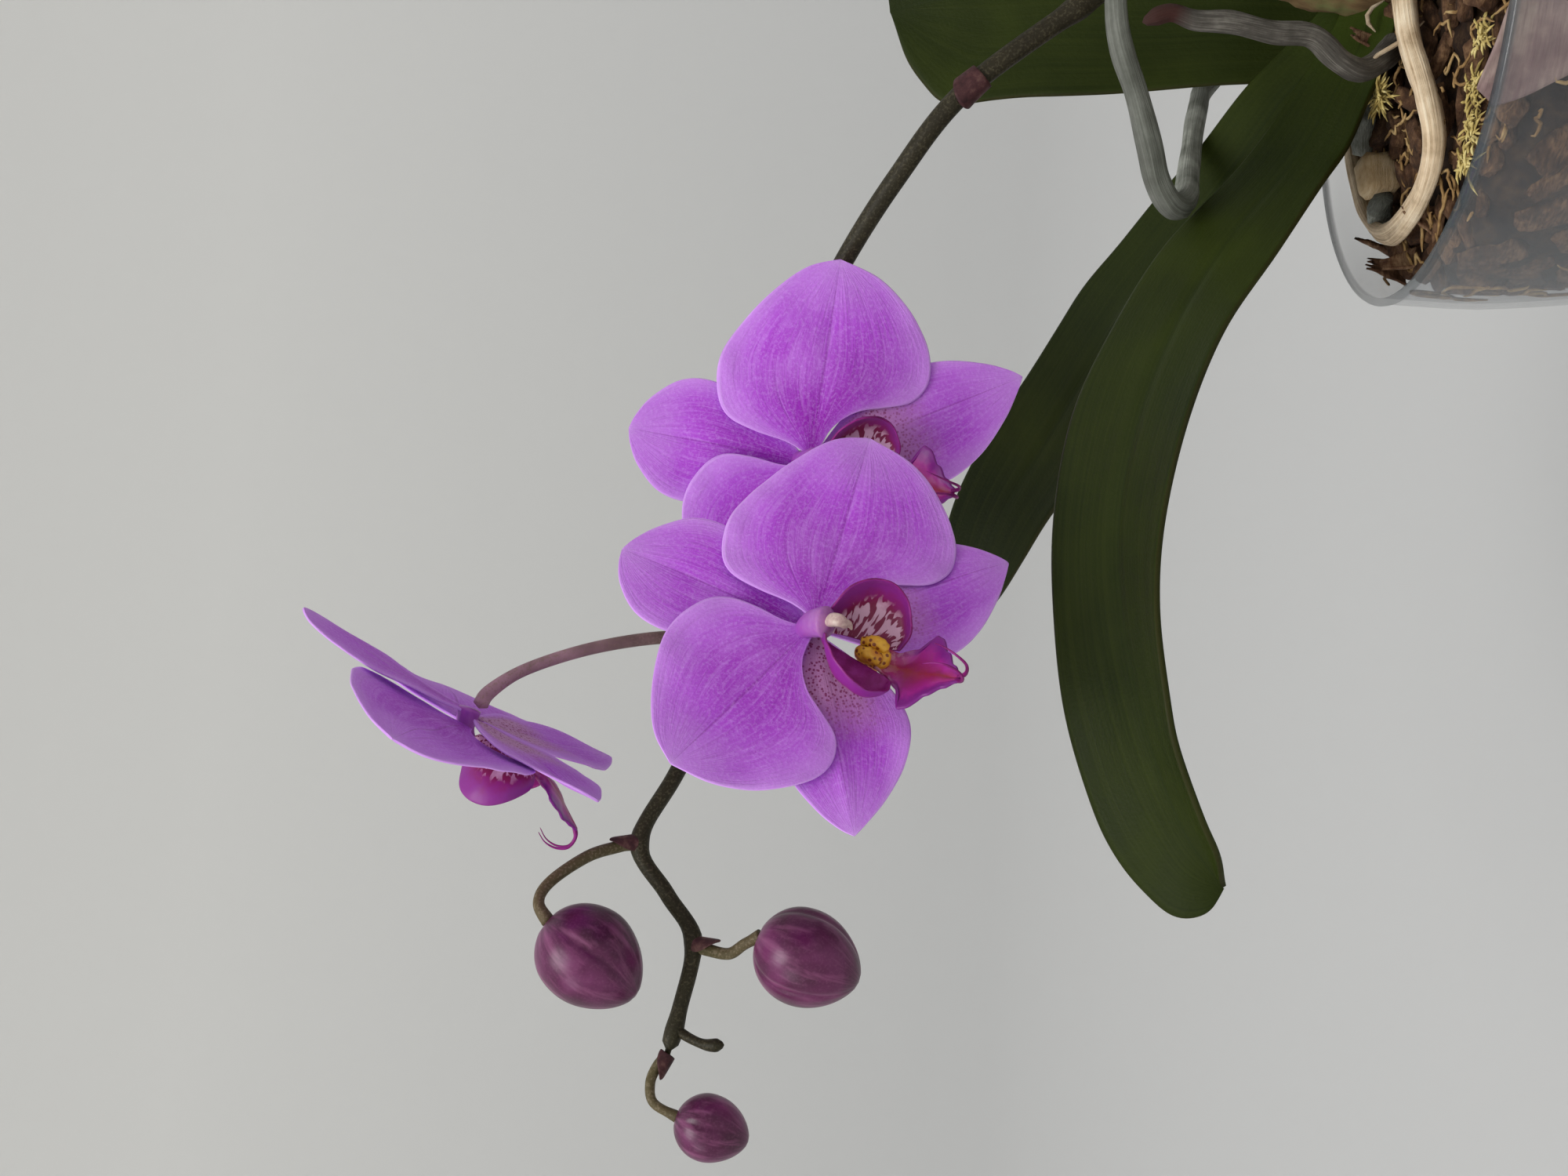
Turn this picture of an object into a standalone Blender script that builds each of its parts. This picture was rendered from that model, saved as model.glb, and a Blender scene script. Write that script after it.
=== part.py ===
"""A moth orchid in a clear plastic pot: pot, potting medium, stem, leaves, aerial roots,
flower spike, three open flowers and three buds.

Metres, +Z up.  The origin is the centre of the pot's flat underside.  Plant points are
measured from the centre of the rim, so that the plant follows the pot when its size changes.
"""

import math

import bmesh
import bpy
from mathutils import Matrix, Vector

# --- Driving dimensions ---------------------------------------------------------------------
GAP = 0.0004  # clearance between neighbouring solids

POT_HEIGHT = 0.125
RIM_RADIUS = 0.060
BASE_RADIUS = 0.70 * RIM_RADIUS
POT_WALL = 0.0012
POT_FLOOR = 0.0016
SHOULDER_DROP = 0.018  # the side is upright for this far below the rim
DRAIN_HOLES = 8
DRAIN_HOLE_RADIUS = 0.0032
DRAIN_CIRCLE_SHARE = 0.74  # of the base radius

MEDIUM_CLEARANCE = 0.0018  # between the medium and the wall, filled by the dead leaf in front
MEDIUM_DROP = 0.009  # the medium's edge below the rim
MEDIUM_MOUND = 0.009  # its middle above its edge

STEM_PLACE = Vector((0.007, 0.016))
STEM_RADIUS = 0.0068
STEM_HEIGHT = 0.014  # above the rim
STEM_DEPTH = 0.026  # below the top of the medium

LEAF_THICKNESS = 0.0018
ROOT_RADIUS = 0.0023
SPIKE_RADIUS = 0.0023
SPIKE_TIP_SHARE = 0.72
PEDICEL_RADIUS = 0.0014

PETAL_LENGTH = 0.0380
PETAL_WIDTH = 0.0435
PETAL_THICKNESS = 0.0009
DORSAL_LENGTH = 0.0370
DORSAL_WIDTH = 0.0250
LATERAL_LENGTH = 0.0370
LATERAL_WIDTH = 0.0240
SEPAL_THICKNESS = 0.0010
FLORAL_ROOT = 0.0032  # how far from the flower's axis each blade starts
COLUMN_RADIUS = 0.0023
COLUMN_LENGTH = 0.0105
LIP_THICKNESS = 0.0010

BUD_LENGTHS = {"bud_1": 0.0235, "bud_2": 0.0225, "bud_3": 0.0155}
BUD_RADII = {"bud_1": 0.0100, "bud_2": 0.0097, "bud_3": 0.0067}


# --- Scene ----------------------------------------------------------------------------------
for old in list(bpy.data.objects):
    bpy.data.objects.remove(old, do_unlink=True)


def new_collection(name):
    collection = bpy.data.collections.new(name)
    bpy.context.scene.collection.children.link(collection)
    return collection


PARTS = new_collection("potted_orchid")
CUTTERS = new_collection("cutters")
CUTTERS.hide_render = True


def material(name, colour, roughness, alpha=1.0, sheen=0.0):
    finish = bpy.data.materials.new(name)
    finish.use_nodes = True
    shader = finish.node_tree.nodes["Principled BSDF"]
    shader.inputs["Base Color"].default_value = (*colour, 1.0)
    shader.inputs["Roughness"].default_value = roughness
    shader.inputs["Metallic"].default_value = 0.0
    shader.inputs["Alpha"].default_value = alpha
    shader.inputs["Sheen Weight"].default_value = sheen
    finish.diffuse_color = (*colour, alpha)
    return finish


CLEAR_PLASTIC = material("clear_plastic", (0.62, 0.64, 0.66), 0.12, alpha=0.35)
BARK = material("bark_and_moss", (0.10, 0.055, 0.03), 0.9)
PALE_BARK = material("pale_bark", (0.50, 0.34, 0.20), 0.85)
MOSS = material("moss", (0.50, 0.45, 0.16), 0.95)
DRY_LEAF = material("dry_leaf", (0.24, 0.16, 0.15), 0.8)
LEAF_GREEN = material("leaf_green", (0.035, 0.060, 0.018), 0.45)
ROOT_SILVER = material("silver_root", (0.33, 0.35, 0.31), 0.8)
ROOT_TAN = material("dry_root", (0.52, 0.40, 0.26), 0.8)
SPIKE_OLIVE = material("spike_olive", (0.085, 0.075, 0.040), 0.5)
BRACT_PURPLE = material("bract_purple", (0.12, 0.035, 0.05), 0.6)
PETAL_MAGENTA = material("petal_magenta", (0.45, 0.085, 0.55), 0.55, sheen=0.3)
LIP_CRIMSON = material("lip_crimson", (0.30, 0.008, 0.14), 0.45)
COLUMN_LILAC = material("column_lilac", (0.62, 0.30, 0.62), 0.4)
BUD_MAROON = material("bud_maroon", (0.13, 0.018, 0.075), 0.4)


def place(name, mesh, finish, matrix=None, collection=PARTS):
    obj = bpy.data.objects.new(name, mesh)
    if matrix is not None:
        obj.matrix_world = matrix
    mesh.materials.append(finish)
    collection.objects.link(obj)
    return obj


def mesh_from(bm, name):
    mesh = bpy.data.meshes.new(name)
    bm.normal_update()
    bm.to_mesh(mesh)
    bm.free()
    mesh.shade_smooth()
    return mesh


def evaluated_copy(obj):
    """Replaces an object by a plain mesh of what its modifiers make."""
    bpy.context.view_layer.update()
    graph = bpy.context.evaluated_depsgraph_get()
    mesh = bpy.data.meshes.new_from_object(obj.evaluated_get(graph))
    obj.modifiers.clear()
    obj.data = mesh
    return obj


def turned(name, profile, finish, steps, matrix=None):
    """Turns a profile of (radius, height), which runs down its outer side, about Z."""
    points = [(radius, 0.0, height) for radius, height in profile]
    edges = [(i, i + 1) for i in range(len(points) - 1)]
    mesh = bpy.data.meshes.new(name)
    mesh.from_pydata(points, edges, [])
    obj = place(name, mesh, finish, matrix)
    screw = obj.modifiers.new("turn", "SCREW")
    screw.axis = "Z"
    screw.steps = steps
    screw.render_steps = steps
    screw.use_merge_vertices = True
    screw.merge_threshold = 0.00001
    screw.use_smooth_shade = True
    return obj


def cut(obj, cutter):
    boolean = obj.modifiers.new("cut", "BOOLEAN")
    boolean.operation = "DIFFERENCE"
    boolean.object = cutter


def cylinder_cutter(name, places, radius, low, high, sides):
    """Upright cylinders at (x, y) places, as one cutter."""
    bm = bmesh.new()
    for x, y in places:
        shift = Matrix.Translation((x, y, (low + high) / 2))
        bmesh.ops.create_cone(
            bm, cap_ends=True, segments=sides, radius1=radius, radius2=radius,
            depth=high - low, matrix=shift,
        )
    cutter = place(name, mesh_from(bm, name), BARK, collection=CUTTERS)
    cutter.hide_render = True
    cutter.display_type = "WIRE"
    return cutter


# --- Pot ------------------------------------------------------------------------------------
SHOULDER_HEIGHT = POT_HEIGHT - SHOULDER_DROP


def pot_radius(height):
    """Outer radius: a belly that opens out to an upright shoulder."""
    if height >= SHOULDER_HEIGHT:
        return RIM_RADIUS
    share = 1.0 - height / SHOULDER_HEIGHT
    return BASE_RADIUS + (RIM_RADIUS - BASE_RADIUS) * (1.0 - share**1.25)


def heights(low, high, count):
    return [low + (high - low) * i / (count - 1) for i in range(count)]


def inner_radius(height):
    return pot_radius(height) - POT_WALL


def build_pot():
    side = heights(0.0012, POT_HEIGHT - 0.0006, 9)
    inside = [(inner_radius(z), z) for z in side if z > 2 * POT_FLOOR]
    outside = [(pot_radius(z), z) for z in reversed(side)]
    corner = inner_radius(POT_FLOOR) - 0.0010
    top = (RIM_RADIUS - POT_WALL / 2, POT_HEIGHT)
    foot = BASE_RADIUS - 0.0010
    profile = [(0.0, POT_FLOOR), (corner, POT_FLOOR), *inside, top, *outside, (foot, 0.0), (0.0, 0.0)]
    pot = turned("pot", profile, CLEAR_PLASTIC, 40)
    circle = BASE_RADIUS * DRAIN_CIRCLE_SHARE
    turns = [2 * math.pi * i / DRAIN_HOLES for i in range(DRAIN_HOLES)]
    places = [(circle * math.cos(turn), circle * math.sin(turn)) for turn in turns]
    holes = cylinder_cutter("drain_holes", places, DRAIN_HOLE_RADIUS, -0.002, POT_FLOOR + 0.002, 12)
    cut(pot, holes)


# --- Potting medium and what lies on it -----------------------------------------------------
MEDIUM_EDGE = POT_HEIGHT - MEDIUM_DROP
MEDIUM_RADIUS = RIM_RADIUS - POT_WALL - MEDIUM_CLEARANCE


def medium_top(x, y):
    """Height of the medium: a low mound with a gentle roll."""
    share = min(1.0, math.hypot(x, y) / MEDIUM_RADIUS)
    roll = 0.0006 * math.sin(x / 0.009 + 1.0) * math.cos(y / 0.011)
    return MEDIUM_EDGE + MEDIUM_MOUND * (1.0 - share**2.4) + roll * (1.0 - share)


def on_medium(x_share, y_share, lift):
    """A point above the medium, placed by shares of its radius."""
    x = x_share * MEDIUM_RADIUS
    y = y_share * MEDIUM_RADIUS
    return Vector((x, y, medium_top(x, y) + lift))


def build_medium():
    low = POT_FLOOR + GAP
    side = heights(low + 0.001, MEDIUM_EDGE - 0.0005, 7)
    outside = [(pot_radius(z) - POT_WALL - MEDIUM_CLEARANCE, z) for z in reversed(side)]
    top = [(MEDIUM_RADIUS * i / 6, MEDIUM_EDGE) for i in range(7)]
    foot = outside[-1][0] - 0.001
    medium = turned("potting_medium", [*top, *outside, (foot, low), (0.0, low)], BARK, 32)
    evaluated_copy(medium)
    for point in medium.data.vertices:
        if abs(point.co.z - MEDIUM_EDGE) < 1e-6:
            point.co.z = medium_top(point.co.x, point.co.y)
    socket = cylinder_cutter(
        "stem_socket", [tuple(STEM_PLACE)], STEM_RADIUS + GAP,
        STEM_FOOT - GAP, POT_HEIGHT + 0.02, 20,
    )
    cut(medium, socket)


STEM_FOOT = medium_top(*STEM_PLACE) - STEM_DEPTH
STEM_TOP = POT_HEIGHT + STEM_HEIGHT


def build_stem():
    waist = STEM_RADIUS * 0.90
    profile = [
        (0.0, STEM_TOP), (waist * 0.6, STEM_TOP - 0.0006), (waist, STEM_TOP - 0.003),
        (STEM_RADIUS, STEM_TOP - 0.012), (STEM_RADIUS, STEM_FOOT + 0.001),
        (STEM_RADIUS - 0.001, STEM_FOOT), (0.0, STEM_FOOT),
    ]
    turned("stem", profile, ROOT_TAN, 20, Matrix.Translation((*STEM_PLACE, 0.0)))


def pebble(name, centre, size, turn, finish, cuts=1):
    """A soft lump: a cube rounded by subdivision, then stretched and turned."""
    bm = bmesh.new()
    bmesh.ops.create_cube(bm, size=1.0)
    bmesh.ops.scale(bm, vec=Vector(size), verts=bm.verts)
    matrix = Matrix.Translation(centre) @ Matrix.Rotation(math.radians(turn), 4, "Z")
    obj = place(name, mesh_from(bm, name), finish, matrix)
    soften = obj.modifiers.new("soften", "SUBSURF")
    soften.levels = cuts
    soften.render_levels = cuts


def build_litter():
    """Bark, moss and root stubs, each just clear of the medium."""
    rows = [
        ("bark_chip_pale", (-0.58, 0.20), (0.010, 0.008, 0.0070), 25, PALE_BARK),
        ("husk_left", (-0.89, 0.27), (0.0035, 0.011, 0.0050), -17, BARK),
        ("bark_chip_front", (-0.10, -0.70), (0.014, 0.010, 0.0050), -20, BARK),
        ("bark_chip_right", (0.68, 0.14), (0.013, 0.010, 0.0060), 35, BARK),
        ("moss_tuft_back", (-0.33, 0.06), (0.007, 0.006, 0.0070), 10, MOSS),
        ("moss_tuft_front", (-0.64, -0.52), (0.010, 0.006, 0.0045), -35, MOSS),
    ]
    for name, (x, y), size, turn, finish in rows:
        lift = size[2] * 0.42 + GAP + MEDIUM_MOUND * 0.11
        pebble(name, on_medium(x, y, lift), size, turn, finish)


DEAD_LEAF_THICKNESS = MEDIUM_CLEARANCE - 2.5 * GAP
DEAD_LEAF_HALF_WIDTH = 0.0125


def build_dead_leaf():
    """A dry leaf fragment that stands between the medium and the front of the wall."""
    start = Vector((math.radians(-122) * inner_radius(POT_HEIGHT), 0.0))
    run = Vector((0.046, -0.040))
    side_way = Vector((-run.y, run.x)).normalized()
    bm = grid("dead_leaf", 6, 14)
    for vert in bm.verts:
        reach = DEAD_LEAF_HALF_WIDTH * (0.15 + 0.85 * math.sin(math.pi * min(0.62, vert.co.x * 0.62 + 0.06)))
        spot = start + run * vert.co.x + side_way * (vert.co.y * reach)
        height = POT_HEIGHT + min(0.004, spot.y)
        turn = spot.x / inner_radius(POT_HEIGHT)
        radius = inner_radius(height) - MEDIUM_CLEARANCE / 2
        vert.co = Vector((radius * math.cos(turn), radius * math.sin(turn), height))
    bmesh.ops.remove_doubles(bm, verts=bm.verts, dist=0.00001)
    obj = place("dead_leaf", mesh_from(bm, "dead_leaf"), DRY_LEAF)
    thicken(obj, DEAD_LEAF_THICKNESS)


# --- Tubes: spike, pedicels and roots -------------------------------------------------------
def at(x, y, z):
    """A plant point, given in millimetres from the centre of the rim."""
    return Vector((x / 1000, y / 1000, POT_HEIGHT + z / 1000))


def smooth_route(points, steps):
    """Points along a Catmull-Rom curve through the route's own points."""
    route = [points[0] * 2 - points[1], *points, points[-1] * 2 - points[-2]]
    found = []
    for i in range(1, len(route) - 2):
        a, b, c, d = route[i - 1:i + 3]
        for k in range(steps):
            t = k / steps
            found.append(
                0.5 * (2 * b + (c - a) * t + (2 * a - 5 * b + 4 * c - d) * t**2
                       + (3 * b - a - 3 * c + d) * t**3)
            )
    found.append(points[-1].copy())
    return found


def tube(name, points, radius, finish, steps=2, end_share=1.0, tip_share=None):
    """A round stalk along a route: it thins evenly to end_share, and its last point to tip_share."""
    route = smooth_route(points, steps)
    curve = bpy.data.curves.new(name, "CURVE")
    curve.dimensions = "3D"
    curve.bevel_depth = radius
    curve.bevel_resolution = 2
    curve.use_fill_caps = True
    spline = curve.splines.new("POLY")
    spline.points.add(len(route) - 1)
    last = len(route) - 1
    for i, point in enumerate(route):
        spline.points[i].co = (*point, 1.0)
        spline.points[i].radius = 1.0 + (end_share - 1.0) * i / last
    if tip_share is not None:
        spline.points[last].radius = tip_share
    curve.materials.append(finish)
    obj = bpy.data.objects.new(name, curve)
    PARTS.objects.link(obj)
    return route


def build_roots():
    tube(
        "root_looped",
        [at(2, 28, 3), at(0, 41, 12), at(-6, 49, 22), at(-13, 50, 31), at(-22, 43, 35.5), at(-34, 29, 38),
         at(-43, 14, 41), at(-41, 4, 45), at(-31, -1, 50), at(-19, -4, 56), at(-6, -6, 59), at(9, -6, 59),
         at(22, -4, 57)],
        ROOT_RADIUS, ROOT_SILVER, end_share=0.92, tip_share=0.5,
    )
    foot = 1000 * (medium_top(-0.011, 0.003) - POT_HEIGHT)
    clear = 1000 * (ROOT_RADIUS + GAP)
    tube(
        "root_rising",
        [at(-9, 2, foot + clear), at(-13, -4, 4.5), at(-17, -8, 10), at(-16, -10, 15), at(-12, -11, 21),
         at(-12, -12, 29), at(-11, -13, 37), at(-11, -13, 44), at(-10, -13, 49), at(-12, -12, 54)],
        ROOT_RADIUS, ROOT_SILVER, end_share=0.85, tip_share=0.5,
    )
    lift = ROOT_RADIUS + GAP + 0.0006
    shares = [
        (0.62, -0.42), (0.34, -0.26), (0.05, -0.16), (-0.18, -0.22), (-0.42, -0.36), (-0.59, -0.38),
        (-0.73, -0.22), (-0.80, 0.10), (-0.72, 0.34), (-0.50, 0.52), (-0.30, 0.60),
    ]
    tube(
        "root_dry", [on_medium(x, y, lift) for x, y in shares],
        ROOT_RADIUS, ROOT_TAN, end_share=0.9, tip_share=0.6,
    )
    stub = [(-0.46, 0.36), (-0.36, 0.32), (-0.24, 0.31)]
    tube("root_stub_grey", [on_medium(x, y, lift) for x, y in stub], ROOT_RADIUS, ROOT_SILVER)


# --- Leaves ---------------------------------------------------------------------------------
def grid(name, across, along):
    """A flat grid of faces, with x along the blade from 0 to 1 and y across it from -1 to 1."""
    bm = bmesh.new()
    bmesh.ops.create_grid(bm, x_segments=along, y_segments=across, size=1.0)
    for vert in bm.verts:
        vert.co.x = 0.5 - 0.5 * math.cos(math.pi * (vert.co.x + 1.0) / 2)
    return bm


def thicken(obj, thickness):
    wall = obj.modifiers.new("thickness", "SOLIDIFY")
    wall.thickness = thickness
    wall.offset = 0.0


def leaf_outline(share, base):
    """Half width of a strap leaf, as a share of its widest: a narrow base and a round tip."""
    rise = min(1.0, share / 0.45)
    swell = base + (1.0 - base) * rise * rise * (3 - 2 * rise)
    return max(0.04, swell * math.sqrt(max(0.0, 1.0 - share**9)))


def leaf(name, points, side_way, half_width, base, tilts, fold):
    """A strap leaf along a route, with one edge on its side_way.  tilts turn it about its midrib
    at base and tip, in degrees; fold lifts its edges into a channel, as shares of the half width."""
    route = smooth_route(points, 6)
    last = len(route) - 1
    bm = grid(name, 4, 14)
    for vert in bm.verts:
        share, side = vert.co.x, vert.co.y
        spot = share * last
        i = min(last - 1, int(spot))
        centre = route[i].lerp(route[i + 1], spot - i)
        along = (route[min(last, i + 2)] - route[max(0, i - 1)]).normalized()
        across = (side_way - along * side_way.dot(along)).normalized()
        tilt = math.radians(tilts[0] + (tilts[1] - tilts[0]) * share)
        across.rotate(Matrix.Rotation(tilt, 3, along))
        up = across.cross(along)
        reach = half_width * leaf_outline(share, base)
        channel = fold[0] + (fold[1] - fold[0]) * share
        vert.co = centre + across * (side * reach) + up * (abs(side) ** 1.5 * reach * channel)
    obj = place(name, mesh_from(bm, name), LEAF_GREEN)
    thicken(obj, LEAF_THICKNESS)


def build_leaves():
    leaf(
        "leaf_front",
        [at(-2, 12, 6), at(-18, 7, 11.5), at(-38, 1, 22.5), at(-53, -4, 32), at(-70, -10, 42),
         at(-87, -14, 49), at(-106, -18, 53), at(-125, -24, 53), at(-142, -27, 49.5),
         at(-156, -28, 44.5), at(-168, -27, 38), at(-176, -25, 32.5)],
        Vector((0, 1, 0)), 0.0180, 0.44, (-26, -14), (0.36, 0.14),
    )
    leaf(
        "leaf_back",
        [at(-4, 20, 19), at(-16, 23.5, 21), at(-30, 27, 26.5), at(-44, 32, 34.5), at(-58, 37, 43),
         at(-74, 45, 51), at(-90, 51, 58.5), at(-106, 56, 65), at(-118, 58.5, 67.5), at(-124, 59, 67)],
        Vector((0, 1, 0)), 0.0160, 0.40, (-20, -20), (0.30, 0.16),
    )
    leaf(
        "leaf_upright",
        [at(8, 32.5, 12), at(9, 35, 26), at(9.5, 39.5, 44), at(10, 44.5, 62), at(9, 50, 78), at(7, 55, 90),
         at(5, 58, 96)],
        Vector((1, 0, 0)), 0.0255, 0.60, (0, -4), (0.25, 0.08),
    )
    leaf(
        "leaf_right",
        [at(18, 8, 4), at(30, 4, 14), at(52, 0, 30), at(78, -5, 40), at(104, -10, 41), at(124, -12, 34),
         at(138, -12, 24)],
        Vector((0, -1, 0)), 0.0215, 0.40, (28, 12), (0.50, 0.16),
    )


# --- Flowers --------------------------------------------------------------------------------
def flower_frame(centre, roll, pitch, yaw):
    """Columns: the flower's right, its up, and its face; roll leans its top to the right,
    pitch lifts its face and yaw turns its face to the right."""
    lean = math.radians(roll)
    right = Vector((math.cos(lean), 0, -math.sin(lean)))
    up = Vector((math.sin(lean), 0, math.cos(lean)))
    face = Vector((0, -1, 0))
    turn = Matrix.Rotation(math.radians(yaw), 3, "Z") @ Matrix.Rotation(math.radians(-pitch), 3, "X")
    axes = turn @ Matrix((right, up, face)).transposed()
    return Matrix.Translation(centre) @ axes.to_4x4()


def blade_outline(share, near, far):
    """Half width as a share of its widest: near shapes the claw and far the tip."""
    widest = near / (near + far)
    value = (share / widest) ** near * ((1.0 - share) / (1.0 - widest)) ** far
    return max(0.05, value)


def blade(name, frame, turn, length, width, thickness, outline, rise, cup, lift, finish):
    """A petal or sepal: turn is its direction from the flower's up, clockwise, in degrees;
    rise lifts its tip towards the flower's face and cup lifts its edges."""
    bm = grid(name, 6, 9)
    angle = math.radians(turn)
    along = Vector((math.sin(angle), math.cos(angle), 0))
    across = Vector((math.cos(angle), -math.sin(angle), 0))
    for vert in bm.verts:
        share, side = vert.co.x, vert.co.y
        reach = width / 2 * blade_outline(share, *outline)
        height = lift + rise * share**2 + cup * side * side * math.sin(math.pi * share)
        vert.co = along * (FLORAL_ROOT + share * length) + across * (side * reach)
        vert.co.z = height
    obj = place(name, mesh_from(bm, name), finish, frame)
    thicken(obj, thickness)


LIP_SPINE = [(2.6, -5.2), (4.2, -9.0), (6.2, -13.5), (8.4, -19.0), (10.4, -25.0), (12.2, -31.0)]
LIP_WIDTHS = [
    (0.0, 2.6), (0.10, 6.0), (0.24, 13.5), (0.36, 11.0), (0.44, 4.0), (0.52, 3.0), (0.62, 5.6),
    (0.76, 8.4), (0.88, 5.0), (1.0, 0.9),
]


def eased(stations, share):
    """A value read between stations, with a smooth step from each to the next."""
    for (low, a), (high, b) in zip(stations, stations[1:]):
        if share <= high:
            t = (share - low) / (high - low)
            return a + (b - a) * t * t * (3 - 2 * t)
    return stations[-1][1]


def lip(name, frame):
    """The lip: side lobes that stand up round the column, a waist, and an arrow-shaped front."""
    spine = smooth_route([Vector((0, y / 1000, z / 1000)) for z, y in LIP_SPINE], 6)
    last = len(spine) - 1
    bm = grid(name, 6, 15)
    for vert in bm.verts:
        share, side = vert.co.x, vert.co.y
        i = min(last - 1, int(share * last))
        centre = spine[i].lerp(spine[i + 1], share * last - i)
        along = (spine[i + 1] - spine[i]).normalized()
        out = along.cross(Vector((1, 0, 0)))
        reach = eased(LIP_WIDTHS, share) / 1000
        lobes = max(0.0, 1.0 - abs(share - 0.24) / 0.24)
        curl = 0.05 + 1.65 * lobes
        angle = side * curl
        radius = reach / curl
        vert.co = centre + Vector((math.sin(angle) * radius, 0, 0)) + out * ((1 - math.cos(angle)) * radius)
    obj = place(name, mesh_from(bm, name), LIP_CRIMSON, frame)
    thicken(obj, LIP_THICKNESS)


def column(name, frame):
    back = -0.0008
    front = back + COLUMN_LENGTH
    profile = [
        (0.0, front), (COLUMN_RADIUS * 0.75, front - 0.0006), (COLUMN_RADIUS * 1.15, front - 0.0026),
        (COLUMN_RADIUS, front - 0.006), (COLUMN_RADIUS * 0.8, back), (0.0, back),
    ]
    turned(name, profile, COLUMN_LILAC, 14, frame)


# Centre; roll, pitch and yaw; spread of the lateral sepals and stretch of their length and of the
# dorsal sepal's; directions of the left and right petals, and the rise of their tips.
FLOWERS = {
    "flower_front": (at(-131, -24, 110), (26, 0, 30), (126, 1.00, 1.00), (-77, 77, 0.0040)),
    "flower_middle": (at(-98, 20, 110.5), (11, 0, 4), (142, 1.20, 0.94), (-78, 85, 0.0040)),
    "flower_top": (at(-155, 24, 176), (0, 24, -94), (136, 1.00, 1.04), (-76, 76, 0.0015)),
}


def build_flower(name, centre, pose, spread, petals):
    frame = flower_frame(centre, *pose)
    lateral_turn, lateral_stretch, dorsal_stretch = spread
    petal_left, petal_right, petal_rise = petals
    lateral = LATERAL_LENGTH * lateral_stretch
    sepals = [
        ("dorsal_sepal", 0, DORSAL_LENGTH * dorsal_stretch, DORSAL_WIDTH, -0.005),
        ("lateral_sepal_left", -lateral_turn, lateral, LATERAL_WIDTH, -0.0005),
        ("lateral_sepal_right", lateral_turn, lateral, LATERAL_WIDTH, -0.0005),
    ]
    for part, turn, length, width, rise in sepals:
        blade(
            name + "_" + part, frame, turn, length, width, SEPAL_THICKNESS,
            (0.72, 0.62), rise, -0.0010, -0.0020, PETAL_MAGENTA,
        )
    for part, turn in (("petal_left", petal_left), ("petal_right", petal_right)):
        blade(
            name + "_" + part, frame, turn, PETAL_LENGTH, PETAL_WIDTH, PETAL_THICKNESS,
            (0.52, 0.48), petal_rise, -0.0015, 0.0012, PETAL_MAGENTA,
        )
    lip(name + "_lip", frame)
    column(name + "_column", frame)
    return frame


# --- Spike, pedicels, bracts and buds -------------------------------------------------------
SPIKE_ROUTE = [
    at(13, 5, 20), at(14, 6, 30), at(10, 8, 41), at(4, 9, 52), at(-4, 10, 63), at(-22, 12, 84.5),
    at(-39, 18, 96.5), at(-56, 28, 106), at(-77, 35, 115), at(-100, 42, 122), at(-118, 44, 126),
    at(-136, 43, 124), at(-150, 40, 127), at(-165, 36, 134), at(-179, 32, 140.5), at(-189, 29, 134),
    at(-198, 27, 128), at(-212, 24, 130), at(-221, 22, 132),
]


def build_spike():
    tube("flower_spike", SPIKE_ROUTE, SPIKE_RADIUS, SPIKE_OLIVE, end_share=SPIKE_TIP_SHARE)


def ring(name, centre, direction, radius, length, finish):
    """A thin sheath round a stalk, open at both ends."""
    wall = 0.0006
    profile = [
        (radius, -length / 2), (radius, length / 2), (radius + wall, length / 2 - wall),
        (radius + wall, -length / 2 + wall), (radius, -length / 2),
    ]
    turn = Vector((0, 0, 1)).rotation_difference(direction).to_matrix().to_4x4()
    turned(name, profile, finish, 12, Matrix.Translation(centre) @ turn)


def scale_bract(name, foot, direction, length, radius):
    """A small pointed scale."""
    bm = bmesh.new()
    bmesh.ops.create_cone(
        bm, cap_ends=True, segments=8, radius1=radius, radius2=radius * 0.12, depth=length,
        matrix=Matrix.Translation((0, 0, length / 2)),
    )
    turn = Vector((0, 0, 1)).rotation_difference(direction.normalized()).to_matrix().to_4x4()
    place(name, mesh_from(bm, name), BRACT_PURPLE, Matrix.Translation(foot) @ turn)


def bud(name, top, direction):
    """A pointed egg that hangs from its top."""
    length = BUD_LENGTHS[name]
    radius = BUD_RADII[name]
    bm = bmesh.new()
    bmesh.ops.create_uvsphere(bm, u_segments=14, v_segments=9, radius=1.0)
    for vert in bm.verts:
        share = (vert.co.z + 1.0) / 2
        slim = 1.0 - 0.28 * max(0.0, 0.5 - share) * 2
        vert.co = Vector((vert.co.x * radius * slim, vert.co.y * radius * slim, (share - 1.0) * length))
    turn = Vector((0, 0, -1)).rotation_difference(direction.normalized()).to_matrix().to_4x4()
    place(name, mesh_from(bm, name), BUD_MAROON, Matrix.Translation(top) @ turn)


def pedicel(name, points, end, end_direction, reach):
    """A stalk along its points that stops just short of end, coming in against end_direction."""
    stop = end - end_direction.normalized() * reach
    tube(name, [*points, stop], PEDICEL_RADIUS, SPIKE_OLIVE, end_share=0.85)


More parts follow.
